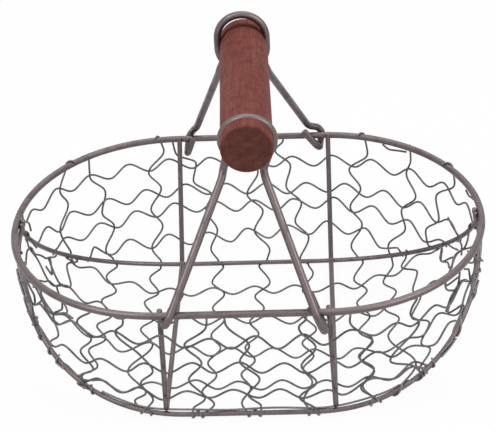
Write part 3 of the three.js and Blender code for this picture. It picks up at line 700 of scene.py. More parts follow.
class BasketForm:
    """The basket's walls and floor as formulas of the sizes, all in millimetres.

    Each keel is a boat outline: over a turn t from 0 to 90 degrees its length runs as
    sin(t) to the power 2 / side power and its drop as cos(t) to the power 2 / drop power. A
    wall rises straight from the keel to the rim at each x, and the floor lies between the
    keels."""

    def __init__(self, scene):
        body, net, grip = scene.basket_frame_sizes, scene.basket_net_sizes, scene.basket_grip_sizes
        self.rim_wire = body.rim_wire / MM
        self.rim_half_length = body.rim_half_length / MM
        self.rim_half_width = body.rim_half_width / MM
        self.rim_straight_half = body.rim_straight_half / MM
        self.rim_above_keel = body.rim_above_keel / MM
        self.keel_wire = body.keel_wire / MM
        self.rib_wire = body.rib_wire / MM
        self.bail_wire = body.bail_wire / MM
        self.net_radius = net.wire / MM / 2
        self.wrap_travel = net.wrap_travel / MM
        self.softness = net.bend_softness / MM
        solid_cross = self.keel_wire / 2 + SEAT_GAP + SOLID_NET_HALF
        self.cross_offset = solid_cross - (self.net_radius - SOLID_NET_HALF)
        self.row_offset = self.cross_offset - 2 * self.net_radius - LAYER_GAP
        self.keel_z = solid_cross + SOLID_NET_HALF
        self.rim_z = self.keel_z + self.rim_above_keel
        self.grip_z = self.rim_z + grip.above_rim / MM
        self.groove_span = grip.groove_span / MM
        self.keel_half_width = self.rim_half_width - body.wall_flare / MM
        keel_reach = self.rim_half_length - self.rim_wire / 2
        keel_half_length = keel_reach - self.keel_wire / 2 + KEEL_BULGE
        turn = np.linspace(0.0, math.pi / 2, OUTLINE_POINTS)
        along = np.sin(turn) ** (2 / KEEL_SIDE_POWER)
        drop = np.maximum(0.0, np.cos(turn)) ** (2 / KEEL_DROP_POWER)
        self.keel_h = self.rim_above_keel * (1 - drop)
        tucked = self.keel_h - (self.rim_above_keel - self.rim_wire / 2 - KEEL_TUCK)
        near = np.clip(tucked / KEEL_TUCK, 0, 1)
        run = KEEL_FLAT_HALF + (keel_half_length - KEEL_FLAT_HALF) * along
        self.keel_x = run - KEEL_BULGE * near ** 2
        widening = (self.keel_half_width - KEEL_END_HALF_SPACING) * drop ** KEEL_NARROWING
        self.keel_y = KEEL_END_HALF_SPACING + widening
        steps = np.hypot(np.diff(self.keel_x), np.diff(self.keel_h))
        self.keel_arc = self.keel_x[0] + np.concatenate([[0.0], np.cumsum(steps)])
        self.widest = int(np.argmax(self.keel_x))

    def inside_rim(self, path):
        """The path, with nothing further out lengthwise than the rim's outer face."""
        reach = self.rim_half_length + self.rim_wire / 2 - self.net_radius
        return np.column_stack([np.clip(path[:, 0], -reach, reach), path[:, 1:]])

    def keel_point(self, side, arc):
        """The keel's centreline at a signed length from the middle."""
        a = np.abs(arc)
        x = np.interp(a, np.r_[0, self.keel_arc], np.r_[0, self.keel_x])
        y = np.interp(a, self.keel_arc, self.keel_y)
        h = np.interp(a, self.keel_arc, self.keel_h)
        return np.stack([np.sign(arc) * x, side * y, self.keel_z + h], axis=-1)

    def keel_arc_at(self, x):
        """The signed length along the keel at which it reaches x."""
        a = np.interp(np.abs(x), self.keel_x[:self.widest + 1], self.keel_arc[:self.widest + 1])
        return np.sign(x) * np.where(np.abs(x) < self.keel_x[0], np.abs(x), a)

    def keel_under(self, x):
        """Half width and height of the keel at x."""
        a = np.minimum(np.abs(x), self.keel_x[self.widest] - 0.01)
        reach = slice(0, self.widest + 1)
        y = np.interp(a, self.keel_x[reach], self.keel_y[reach])
        return y, np.interp(a, self.keel_x[reach], self.keel_h[reach], left=0.0)

    def rim_width(self, x):
        """Half width of the rim at x: straight sides, and ends where it falls off as
        (1 - u^p)^(1/p). The right end is an ellipse, and the left one a little fuller."""
        straight = self.rim_straight_half
        past = np.maximum(0, np.abs(x) - straight) / (self.rim_half_length - straight)
        power = np.where(np.asarray(x) < 0, RIM_LEFT_POWER, ELLIPSE_POWER)
        return self.rim_half_width * (1 - np.minimum(past, 1) ** power) ** (1 / power)

    def wall(self, side, x, up):
        """A wall's point at x, a share up of the way from the keel to the rim."""
        y, h = self.keel_under(x)
        wide = y + (self.rim_width(x) - y) * up
        high = self.keel_z + h + (self.rim_above_keel - h) * up
        return np.stack([x + 0 * up, side * wide, high], axis=-1)

    def wall_share(self, x, height):
        """How far up the wall a height over the keel's lowest part is at x."""
        _, h = self.keel_under(x)
        return np.clip((height - h) / (self.rim_above_keel - h), 0.0, 1.0)

    def wall_normal(self, side, x, up):
        """Outward direction of a wall."""
        along = self.wall(side, x + SLOPE_STEP, up) - self.wall(side, x - SLOPE_STEP, up)
        rise = self.wall(side, x, up + SLOPE_SHARE) - self.wall(side, x, up - SLOPE_SHARE)
        return -side * unit(np.cross(along, rise))

    def floor(self, arc, y):
        """The floor strip's point at a signed length and a y."""
        point = self.keel_point(1, arc)
        point[..., 1] = y
        return point

    def floor_normal(self, arc):
        """Downward direction of the floor strip."""
        along = self.floor(arc + SLOPE_STEP, 0 * arc) - self.floor(arc - SLOPE_STEP, 0 * arc)
        along = unit(along)
        return np.stack([along[..., 2], 0 * along[..., 0], -along[..., 0]], axis=-1)

    def along_keel(self, side, arc):
        """Direction along the keel at a signed length."""
        ahead = self.keel_point(side, arc + KEEL_STEP) - self.keel_point(side, arc - KEEL_STEP)
        return unit(ahead)

    def across_keel(self, side, arc):
        """Directions below and outwards of the keel at a signed length."""
        axis = self.along_keel(side, arc)
        under = self.floor_normal(arc)
        under = unit(under - axis * (under * axis).sum(1, keepdims=True))
        out = np.cross(axis, under)
        return under, out * np.sign(out[:, 1:2]) * side

    def rim_point(self, side, x):
        """The rim's centreline at x."""
        return np.stack([x, side * self.rim_width(x), self.rim_z + 0 * x], axis=-1)


def through_bends(bends, spacing):
    """A wire's sway through its measured bends: between two bends (a, p) and (b, q), with
    t = (s - a) / (b - a), it is p (1 + 2t) (1 - t)(1 - t) + q (3 - 2t) t t plus the two end
    slopes' shares. It runs level at each turning point and at the harmonic mean of the
    slopes on both sides elsewhere."""
    place, sway = np.array(bends).T
    step = np.diff(place)
    slope = np.diff(sway) / step
    before, after = slope[:-1], slope[1:]
    same_way = before * after > 0
    inner = np.where(same_way, 2 * before * after / np.where(same_way, before + after, 1), 0)
    level = np.concatenate([slope[:1], inner, slope[-1:]])
    run = np.linspace(place[0], place[-1], int(abs(place[-1] - place[0]) / spacing) + 2)
    i = np.clip(np.searchsorted(place, run) - 1, 0, len(step) - 1)
    t = (run - place[i]) / step[i]
    value = sway[i] * (1 + 2 * t) * (1 - t) ** 2 + sway[i + 1] * (3 - 2 * t) * t ** 2
    value += step[i] * (level[i] * t * (1 - t) ** 2 - level[i + 1] * t ** 2 * (1 - t))
    return run, value


def add_node(tree, kind, settings=None, **inputs):
    """Adds a shader node, sets its options and its unlinked inputs, and links the rest."""
    node = tree.nodes.new(kind)
    for name, value in (settings or {}).items():
        setattr(node, name, value)
    for name, value in inputs.items():
        socket = node.inputs[name.replace("_", " ")]
        if isinstance(value, bpy.types.NodeSocket):
            tree.links.new(value, socket)
        else:
            socket.default_value = value
    return node


def mixed(tree, share, first, second):
    """A colour between two others."""
    node = add_node(tree, "ShaderNodeMix", {"data_type": "RGBA"})
    for place, value in ((0, share), (6, first), (7, second)):
        if isinstance(value, bpy.types.NodeSocket):
            tree.links.new(value, node.inputs[place])
        else:
            node.inputs[place].default_value = value
    return node.outputs[2]


def stepped(tree, value, low, high):
    """A value brought smoothly from 0 at low to 1 at high."""
    node = add_node(tree, "ShaderNodeMapRange", {"interpolation_type": "SMOOTHSTEP"}, Value=value)
    node.inputs["From Min"].default_value = low
    node.inputs["From Max"].default_value = high
    return node.outputs["Result"]


def calculated(tree, operation, first, second, third=None):
    """One step of arithmetic."""
    node = add_node(tree, "ShaderNodeMath", {"operation": operation})
    for place, value in enumerate((first, second, third)):
        if isinstance(value, bpy.types.NodeSocket):
            tree.links.new(value, node.inputs[place])
        elif value is not None:
            node.inputs[place].default_value = value
    return node.outputs[0]


def noise(tree, vector, scale, detail, roughness):
    """Noise read along a vector."""
    node = add_node(tree, "ShaderNodeTexNoise", None, Vector=vector, Scale=scale,
                    Detail=detail, Roughness=roughness)
    return node.outputs["Fac"]


def stretched(tree, vector, scale):
    """A vector scaled by different amounts along its axes."""
    return add_node(tree, "ShaderNodeMapping", None, Vector=vector, Scale=scale).outputs[0]


def new_group(name, extra, extra_kind):
    """An empty shader node group: coordinates, one more input and three colours come in, and
    a colour, a roughness and a height go out."""
    group = bpy.data.node_groups.new(name, "ShaderNodeTree")
    for label, way, kind in (
        ("Coordinates", "INPUT", "NodeSocketVector"),
        (extra, "INPUT", extra_kind),
        ("Base", "INPUT", "NodeSocketColor"),
        ("Dark", "INPUT", "NodeSocketColor"),
        ("Light", "INPUT", "NodeSocketColor"),
        ("Colour", "OUTPUT", "NodeSocketColor"),
        ("Roughness", "OUTPUT", "NodeSocketFloat"),
        ("Height", "OUTPUT", "NodeSocketFloat"),
    ):
        group.interface.new_socket(name=label, in_out=way, socket_type=kind)
    return group, group.nodes.new("NodeGroupInput"), group.nodes.new("NodeGroupOutput")


def drawn_wire_group():
    """Drawn steel: dull patches, rubbed streaks along the wire and fine pits, each with its repeats
    per metre along the wire and around it. Wrapped places are painted paler, a painted highlight."""
    group, given, out = new_group("drawn_wire", "Painted wrap highlight", "NodeSocketFloat")
    place = given.outputs["Coordinates"]
    patches = noise(group, stretched(group, place, (90.0, 160.0, 160.0)), 1.0, 4.0, 0.6)
    streaks = noise(group, stretched(group, place, (60.0, 900.0, 900.0)), 1.0, 3.0, 0.5)
    pits = noise(group, stretched(group, place, (1400.0, 1400.0, 1400.0)), 1.0, 2.0, 0.6)
    dull = stepped(group, patches, 0.48, 0.68)
    rubbed = stepped(group, streaks, 0.52, 0.74)
    toned = mixed(group, calculated(group, "MULTIPLY", dull, 0.5),
                  given.outputs["Base"], given.outputs["Dark"])
    toned = mixed(group, calculated(group, "MULTIPLY", rubbed, 0.45), toned, given.outputs["Light"])
    # Painted highlight: wrapped places of the net are mixed towards the light colour.
    toned = mixed(group, calculated(group, "MULTIPLY", given.outputs["Painted wrap highlight"], 0.6),
                  toned, given.outputs["Light"])
    group.links.new(toned, out.inputs["Colour"])
    rough = calculated(group, "MULTIPLY_ADD", dull, 0.16, 0.36)
    group.links.new(rough, out.inputs["Roughness"])
    height = calculated(group, "ADD", calculated(group, "MULTIPLY", pits, 0.6), streaks)
    group.links.new(height, out.inputs["Height"])
    return group


def wood_group():
    """Stained wood: soft bands, fine dark lines along the grain, short open pores and a
    mottling that doesn't follow the grain."""
    group, given, out = new_group("stained_wood", "Grain", "NodeSocketVector")
    scaled = add_node(group, "ShaderNodeVectorMath", {"operation": "MULTIPLY"})
    group.links.new(given.outputs["Coordinates"], scaled.inputs[0])
    group.links.new(given.outputs["Grain"], scaled.inputs[1])
    along = scaled.outputs["Vector"]
    bands = noise(group, along, 0.16, 3.0, 0.5)
    lines = noise(group, along, 1.0, 4.0, 0.62)
    mottle = noise(group, given.outputs["Coordinates"], 170.0, 4.0, 0.6)
    pores = noise(group, along, 2.6, 1.0, 0.4)
    light = stepped(group, bands, 0.46, 0.66)
    dark = stepped(group, lines, 0.52, 0.72)
    open_pores = stepped(group, pores, 0.64, 0.74)
    patchy = stepped(group, mottle, 0.42, 0.66)
    tone = mixed(group, calculated(group, "MULTIPLY", light, 0.5),
                 given.outputs["Base"], given.outputs["Light"])
    tone = mixed(group, calculated(group, "MULTIPLY", dark, 0.6), tone, given.outputs["Dark"])
    tone = mixed(group, calculated(group, "MULTIPLY", patchy, 0.35), tone, given.outputs["Dark"])
    tone = mixed(group, calculated(group, "MULTIPLY", open_pores, 0.6), tone, given.outputs["Dark"])
    group.links.new(tone, out.inputs["Colour"])
    rough = calculated(group, "MULTIPLY_ADD", dark, 0.14, 0.62)
    group.links.new(rough, out.inputs["Roughness"])
    sunk = calculated(group, "MULTIPLY", open_pores, -1.0)
    height = calculated(group, "SUBTRACT", sunk, calculated(group, "MULTIPLY", lines, 0.4))
    group.links.new(height, out.inputs["Height"])
    return group


def surface_material(name, group, vector_of, colours, bump, **settings):
    """A material whose colour, roughness and relief come from a node group."""
    material = bpy.data.materials.new(name)
    material.use_nodes = True
    tree = material.node_tree
    shader = tree.nodes["Principled BSDF"]
    for label, value in settings.items():
        shader.inputs[label.replace("_", " ")].default_value = value
    effect = tree.nodes.new("ShaderNodeGroup")
    effect.node_tree = group
    tree.links.new(vector_of(tree), effect.inputs["Coordinates"])
    for label, value in zip(("Base", "Dark", "Light"), colours):
        effect.inputs[label].default_value = (*value, 1.0)
    tree.links.new(effect.outputs["Colour"], shader.inputs["Base Color"])
    tree.links.new(effect.outputs["Roughness"], shader.inputs["Roughness"])
    relief = add_node(tree, "ShaderNodeBump", None, Strength=bump[0], Distance=bump[1],
                      Height=effect.outputs["Height"])
    tree.links.new(relief.outputs["Normal"], shader.inputs["Normal"])
    return material, effect


def wire_coordinates(tree):
    """The piece's own coordinates: length along the wire and place around it."""
    node = add_node(tree, "ShaderNodeAttribute", {"attribute_name": WIRE_COORDINATES})
    return node.outputs["Vector"]


def object_coordinates(tree):
    """Plain object coordinates."""
    return tree.nodes.new("ShaderNodeTexCoord").outputs["Object"]


def named_group(name, make):
    """A node group, built only once."""
    return bpy.data.node_groups.get(name) or make()


def tones(part):
    """The plain, the dark and the light colour of a part."""
    look = bpy.context.scene.basket_colours
    return [getattr(look, f"{part}_{tone}") for tone in ("base", "dark", "light")]


def frame_metal():
    """Dull galvanised wire of the rim, keels, ribs and bails."""
    found = bpy.data.materials.get("frame_metal")
    if found:
        return found
    group = named_group("drawn_wire", drawn_wire_group)
    return surface_material("frame_metal", group, wire_coordinates, tones("frame"),
                            (0.35, 0.0002), Metallic=0.9)[0]


def net_metal():
    """The net's wire: the frame's steel, painted darker as painted shade of the thin wires."""
    found = bpy.data.materials.get("net_metal")
    if found:
        return found
    group = named_group("drawn_wire", drawn_wire_group)
    # The net's colours are painted darker than the frame's: painted shade of the thin wires.
    material, effect = surface_material("net_metal", group, wire_coordinates, tones("net"),
                                        (0.3, 0.0001), Metallic=0.9)
    # The wrapped places carry the net's painted highlight.
    wrapped = add_node(material.node_tree, "ShaderNodeAttribute", {"attribute_name": WRAPPED})
    material.node_tree.links.new(wrapped.outputs["Fac"], effect.inputs["Painted wrap highlight"])
    return material


def stained_wood(name, part, relief, specular, grain):
    """One of the grip's materials; the grain is given as its repeats per metre."""
    group = named_group("stained_wood", wood_group)
    material, effect = surface_material(name, group, object_coordinates, tones(part),
                                        (relief, 0.0003), Specular_IOR_Level=specular)
    effect.inputs["Grain"].default_value = grain
    return material


def grip_wood():
    """The grip's turned side, with its grain along the handle."""
    return stained_wood("grip_wood", "wood", 0.35, 0.1, (1400.0, 60.0, 1400.0))


def grip_end_grain():
    """The grip's end faces, where the grain is cut across."""
    return stained_wood("grip_end_grain", "end", 0.5, 0.12, (1300.0, 600.0, 1300.0))


def add_frame_wire(name, path, wire, sides, body, node, closed=False):
    """Adds one heavy wire of a given thickness along its path."""
    add_piece(name, round_wire(path, wire / 2, sides, closed), [frame_metal()],
              body, [node])


def add_net_wire(name, form, paths, nodes=()):
    """Adds net wires along their paths, as one piece."""
    wires = [round_wire(path, form.net_radius, NET_SIDES) for path in paths]
    add_piece(name, joined(wires), [net_metal()], "basket", nodes)


class BASKET_OT_stage(bpy.types.Operator):
    """Adds the floor, the soft lights, the white surroundings and the camera"""

    bl_idname = "basket.stage"
    bl_label = "Floor, lights and camera"

    def execute(self, context):
        scene = context.scene
        scene.view_settings.view_transform = "Standard"
        self.add_floor(scene)
        self.add_world(scene)
        for lamp in LAMPS:
            self.add_light(*lamp)
        self.add_camera(scene)
        return {"FINISHED"}

    def add_floor(self, scene):
        """A large level square just under the basket; the camera and reflections see it
        paler than the light that falls on it, and it keeps the basket's shadow."""
        mesh = bpy.data.meshes.new("floor")
        corners = [(x * FLOOR_HALF, y * FLOOR_HALF, 0.0)
                   for x, y in ((-1, -1), (1, -1), (1, 1), (-1, 1))]
        mesh.from_pydata(corners, [], [(0, 1, 2, 3)])
        material = bpy.data.materials.new("pale_floor")
        material.use_nodes = True
        tree = material.node_tree
        shader = tree.nodes["Principled BSDF"]
        shader.inputs["Base Color"].default_value = (*scene.basket_colours.floor, 1.0)
        shader.inputs["Roughness"].default_value = 0.9
        shader.inputs["Specular IOR Level"].default_value = 0.0
        glow = add_node(tree, "ShaderNodeEmission", None, Color=WHITE, Strength=1.0)
        blend = tree.nodes.new("ShaderNodeMixShader")
        share = calculated(tree, "MULTIPLY", self.seen(tree), FLOOR_PALENESS)
        tree.links.new(share, blend.inputs[0])
        tree.links.new(shader.outputs[0], blend.inputs[1])
        tree.links.new(glow.outputs[0], blend.inputs[2])
        tree.links.new(blend.outputs[0], tree.nodes["Material Output"].inputs["Surface"])
        mesh.materials.append(material)
        floor = bpy.data.objects.new("floor", mesh)
        scene.collection.objects.link(floor)

    def seen(self, tree):
        """1 for rays from the camera and in reflections, 0 for rays that carry light."""
        path = tree.nodes.new("ShaderNodeLightPath")
        mirrored = calculated(tree, "MAXIMUM", path.outputs["Is Glossy Ray"],
                              path.outputs["Is Transmission Ray"])
        return calculated(tree, "MAXIMUM", path.outputs["Is Camera Ray"], mirrored)

    def add_world(self, scene):
        """White where it is seen, and a low even light elsewhere."""
        world = bpy.data.worlds.new("studio")
        world.use_nodes = True
        tree = world.node_tree
        light = tree.nodes["Background"]
        light.inputs["Color"].default_value = WHITE
        light.inputs["Strength"].default_value = EVEN_LIGHT
        white = add_node(tree, "ShaderNodeBackground", None, Color=WHITE, Strength=1.0)
        blend = tree.nodes.new("ShaderNodeMixShader")
        tree.links.new(self.seen(tree), blend.inputs[0])
        tree.links.new(light.outputs[0], blend.inputs[1])
        tree.links.new(white.outputs[0], blend.inputs[2])
        tree.links.new(blend.outputs[0], tree.nodes["World Output"].inputs["Surface"])
        scene.world = world

    def add_light(self, name, place, size, power):
        """A square area lamp that shines at the basket's middle."""
        lamp = bpy.data.lights.new(name, "AREA")
        lamp.size = size
        lamp.energy = power
        light = bpy.data.objects.new(name, lamp)
        back = unit(np.array(place) - np.array(LIT_POINT))
        right = unit(np.cross((0.0, 0.0, 1.0), back))
        turn = np.stack([right, np.cross(back, right), back], axis=1)
        light.matrix_world = Matrix.Translation(place) @ Matrix(turn.tolist()).to_4x4()
        bpy.context.scene.collection.objects.link(light)

    def add_camera(self, scene):
        """Stands back from the target along the direction given by the two angles, and is
        rolled about it."""
        view = scene.basket_view
        across, up = math.cos(view.elevation), math.sin(view.elevation)
        back = np.array([math.sin(view.azimuth) * across, -math.cos(view.azimuth) * across, up])
        right = unit(np.cross(-back, (0.0, 0.0, 1.0)))
        above = np.cross(right, -back)
        turned = math.cos(view.roll) * right + math.sin(view.roll) * above
        upright = -math.sin(view.roll) * right + math.cos(view.roll) * above
        camera = bpy.data.cameras.new("camera")
        camera.sensor_width = 36.0
        camera.lens = view.lens
        seen_from = np.array(view.target) + back * view.distance
        turn = Matrix(np.stack([turned, upright, back], axis=1).tolist()).to_4x4()
        eye = bpy.data.objects.new("camera", camera)
        eye.matrix_world = Matrix.Translation(seen_from.tolist()) @ turn
        scene.collection.objects.link(eye)
        scene.camera = eye


class BASKET_OT_rim(bpy.types.Operator):
    """Adds the rim: a flat oval of heavy wire with straight front and back sides"""

    bl_idname = "basket.rim"
    bl_label = "Rim"

    def execute(self, context):
        form = BasketForm(context.scene)
        turn = np.linspace(0.0, 2 * math.pi, RIM_POINTS, endpoint=False)
        stretch = form.rim_half_length - form.rim_straight_half
        across, ahead = np.round(np.cos(turn), 9), np.sin(turn)
        power = 2 / np.where(across < 0, RIM_LEFT_POWER, ELLIPSE_POWER)
        oval = np.stack([
            np.sign(across) * (form.rim_straight_half + stretch * np.abs(across) ** power),
            np.sign(ahead) * form.rim_half_width * np.abs(ahead) ** power,
            np.full_like(turn, form.rim_z),
        ], axis=1)
        path = resampled(np.vstack([oval, oval[:1]]), RIM_SPACING)[:-1]
        add_frame_wire("rim", path, form.rim_wire, THICK_SIDES, "basket", "rim_wire", closed=True)
        return {"FINISHED"}


class BASKET_OT_keels(bpy.types.Operator):
    """Adds the two boat-shaped keel wires under the basket"""

    bl_idname = "basket.keels"
    bl_label = "Keel wires"

    def execute(self, context):
        form = BasketForm(context.scene)
        longest = form.keel_arc[-1]
        arcs = np.linspace(-longest, longest, KEEL_POINTS)
        for name, side in (("front_keel", -1), ("back_keel", 1)):
            path = form.keel_point(side, arcs)
            tips = np.array([[0.0, 0.0, KEEL_ABOVE_RIM]])
            path = np.vstack([path[:1] + tips, path, path[-1:] + tips])
            path = softened(path, KEEL_SPACING, KEEL_SOFTNESS)
            add_frame_wire(name, path, form.keel_wire, FRAME_SIDES, "basket", name + "_wire")
        return {"FINISHED"}


class BASKET_OT_ribs(bpy.types.Operator):
    """Adds the two U-shaped ribs inside the basket"""

    bl_idname = "basket.ribs"
    bl_label = "Ribs"

    def execute(self, context):
        form = BasketForm(context.scene)
        for name, (side, front_top, front_floor, back_floor, back_top) in RIBS.items():
            front = self.half(form, -1, side, front_top, front_floor, RIB_RISES[0])
            back = self.half(form, 1, side, back_top, back_floor, RIB_RISES[1])
            path = softened(np.vstack([front, back[::-1]]), RIB_SPACING, RIB_SOFTNESS)
            add_frame_wire(name + "_wire", path, form.rib_wire, FRAME_SIDES, "basket", name)
        return {"FINISHED"}

    def half(self, form, way, side, top_x, floor_x, rise):
        """From a top end down the wall, round an arc and along the floor: the arc turns by
        the wall's lean about a centre one corner radius above the floor."""
        foot_y, foot_z = form.keel_half_width - RIB_INSET, form.keel_z + RIB_ABOVE_KEEL
        top_y = float(form.rim_width(np.array(top_x + form.rib_wire / 2))) - RIB_BESIDE_RIM
        lean = math.atan2(form.rim_z - foot_z, top_y - foot_y)
        setback = RIB_CORNER_RADIUS * math.tan(lean / 2)
        turn = np.linspace(lean, 0.0, CORNER_POINTS)
        y = foot_y - setback + RIB_CORNER_RADIUS * np.sin(turn)
        z = foot_z + RIB_CORNER_RADIUS * (1 - np.cos(turn))
        top_z = form.rim_z + rise
        y = np.r_[foot_y + (top_z - foot_z) / math.tan(lean), y]
        z = np.r_[top_z, z]
        x = floor_x + (top_x - floor_x) * (z - foot_z) / (form.rim_z - foot_z)
        return np.stack([side * x, way * y, z], axis=1)


class BASKET_OT_bails(bpy.types.Operator):
    """Adds the front and back bails: loop, legs and hooks of one bent wire each"""

    bl_idname = "basket.bails"
    bl_label = "Bails"

    def execute(self, context):
        form = BasketForm(context.scene)
        for name, bail in BAILS.items():
            right, left = self.half(form, bail, 1), self.half(form, bail, -1)
            path = softened(np.vstack([right, left[-2::-1]]), BAIL_SPACING, BAIL_SOFTNESS)
            add_frame_wire(name + "_wire", path, form.bail_wire, THICK_SIDES, name, name)
        return {"FINISHED"}

    def half(self, form, bail, way):
        """From the hook's free end to the top of the loop: a half circle under the rim,
        a leg that leans to the neck, and an arc of the loop in the handle's groove."""
        pick = 0 if way < 0 else 1
        rim_x, low_x, free_x = bail["rim_x"][pick], bail["low_x"][pick], bail["free_x"][pick]
        drop, free_rise = bail["drop"][pick], bail["free_rise"][pick]
        neck_x, loop_x = bail["neck_x"][pick], way * bail["loop_x"]
        loop_y = form.groove_span / 2 - bail["loop_in"]
        loop_z = form.grip_z + bail["loop_rise"]
        neck_z = form.grip_z - bail["neck_drop"]
        hold = form.rim_wire / 2 + HOOK_GAP + form.bail_wire / 2
        distance = math.hypot(form.rim_half_width - loop_y, neck_z - form.rim_z)
        lean = math.atan2(form.rim_half_width - loop_y, neck_z - form.rim_z)
        lean += math.asin(hold / distance)
        leg = math.sqrt(distance * distance - hold * hold)

        def leaning(tilt, x, along, off):
            x, along, off = np.broadcast_arrays(*map(np.atleast_1d, (x, along, off)))
            y = form.rim_half_width - math.sin(tilt) * along + math.cos(tilt) * off
            z = form.rim_z + math.cos(tilt) * along + math.sin(tilt) * off
            return np.stack([x, y, z], axis=1)

        tilt = lean * bail["hook_lean"]
        turn = np.linspace(0.0, 1.0, BEND_POINTS)
        height = hold * (1 - np.sin(math.pi * turn))
        slant = np.where(turn < 0.5, (free_x - low_x) / (free_rise + drop), (rim_x - low_x) / drop)
        parts = [leaning(tilt, free_x, free_rise, -hold)]
        parts.append(leaning(tilt, low_x + slant * height, height - drop,
                             -hold * np.cos(math.pi * turn)))
        parts.append(leaning(tilt, rim_x, 0.0, hold))
        if bail["jog"][pick] > 0:
            height = bail["jog_height"]
            inner = rim_x - bail["jog"][pick]
            parts.append(leaning(tilt, rim_x - JOG_SHOULDER, height - JOG_SHOULDER, hold))
            parts.append(leaning(lean, inner + JOG_WIDENING, height - JOG_SHOULDER / 2, hold))
            parts.append(leaning(lean, inner, height + JOG_SHOULDER / 2, hold))
        parts.append(leaning(lean, neck_x + NECK_FLARE, leg - NECK_BEND, hold))
        parts.append(np.array([[neck_x, loop_y, neck_z]]))

        def arc(first, last, count, centre_z, height):
            angle = np.linspace(first, last, count)
            x = loop_x + bail["loop_radius"] * np.cos(angle)
            z = centre_z + height * np.sin(angle)
            return np.stack([x, np.full(count, loop_y), z], axis=1)

        parts.append(arc(-LOOP_FOOT, 0.0, LOOP_FOOT_POINTS, form.grip_z, bail["loop_radius"]))
        parts.append(arc(0.0, math.pi / 2, BEND_POINTS, loop_z, bail["loop_top"]))
        return np.vstack(parts) * np.array([way, bail["side"], 1.0])


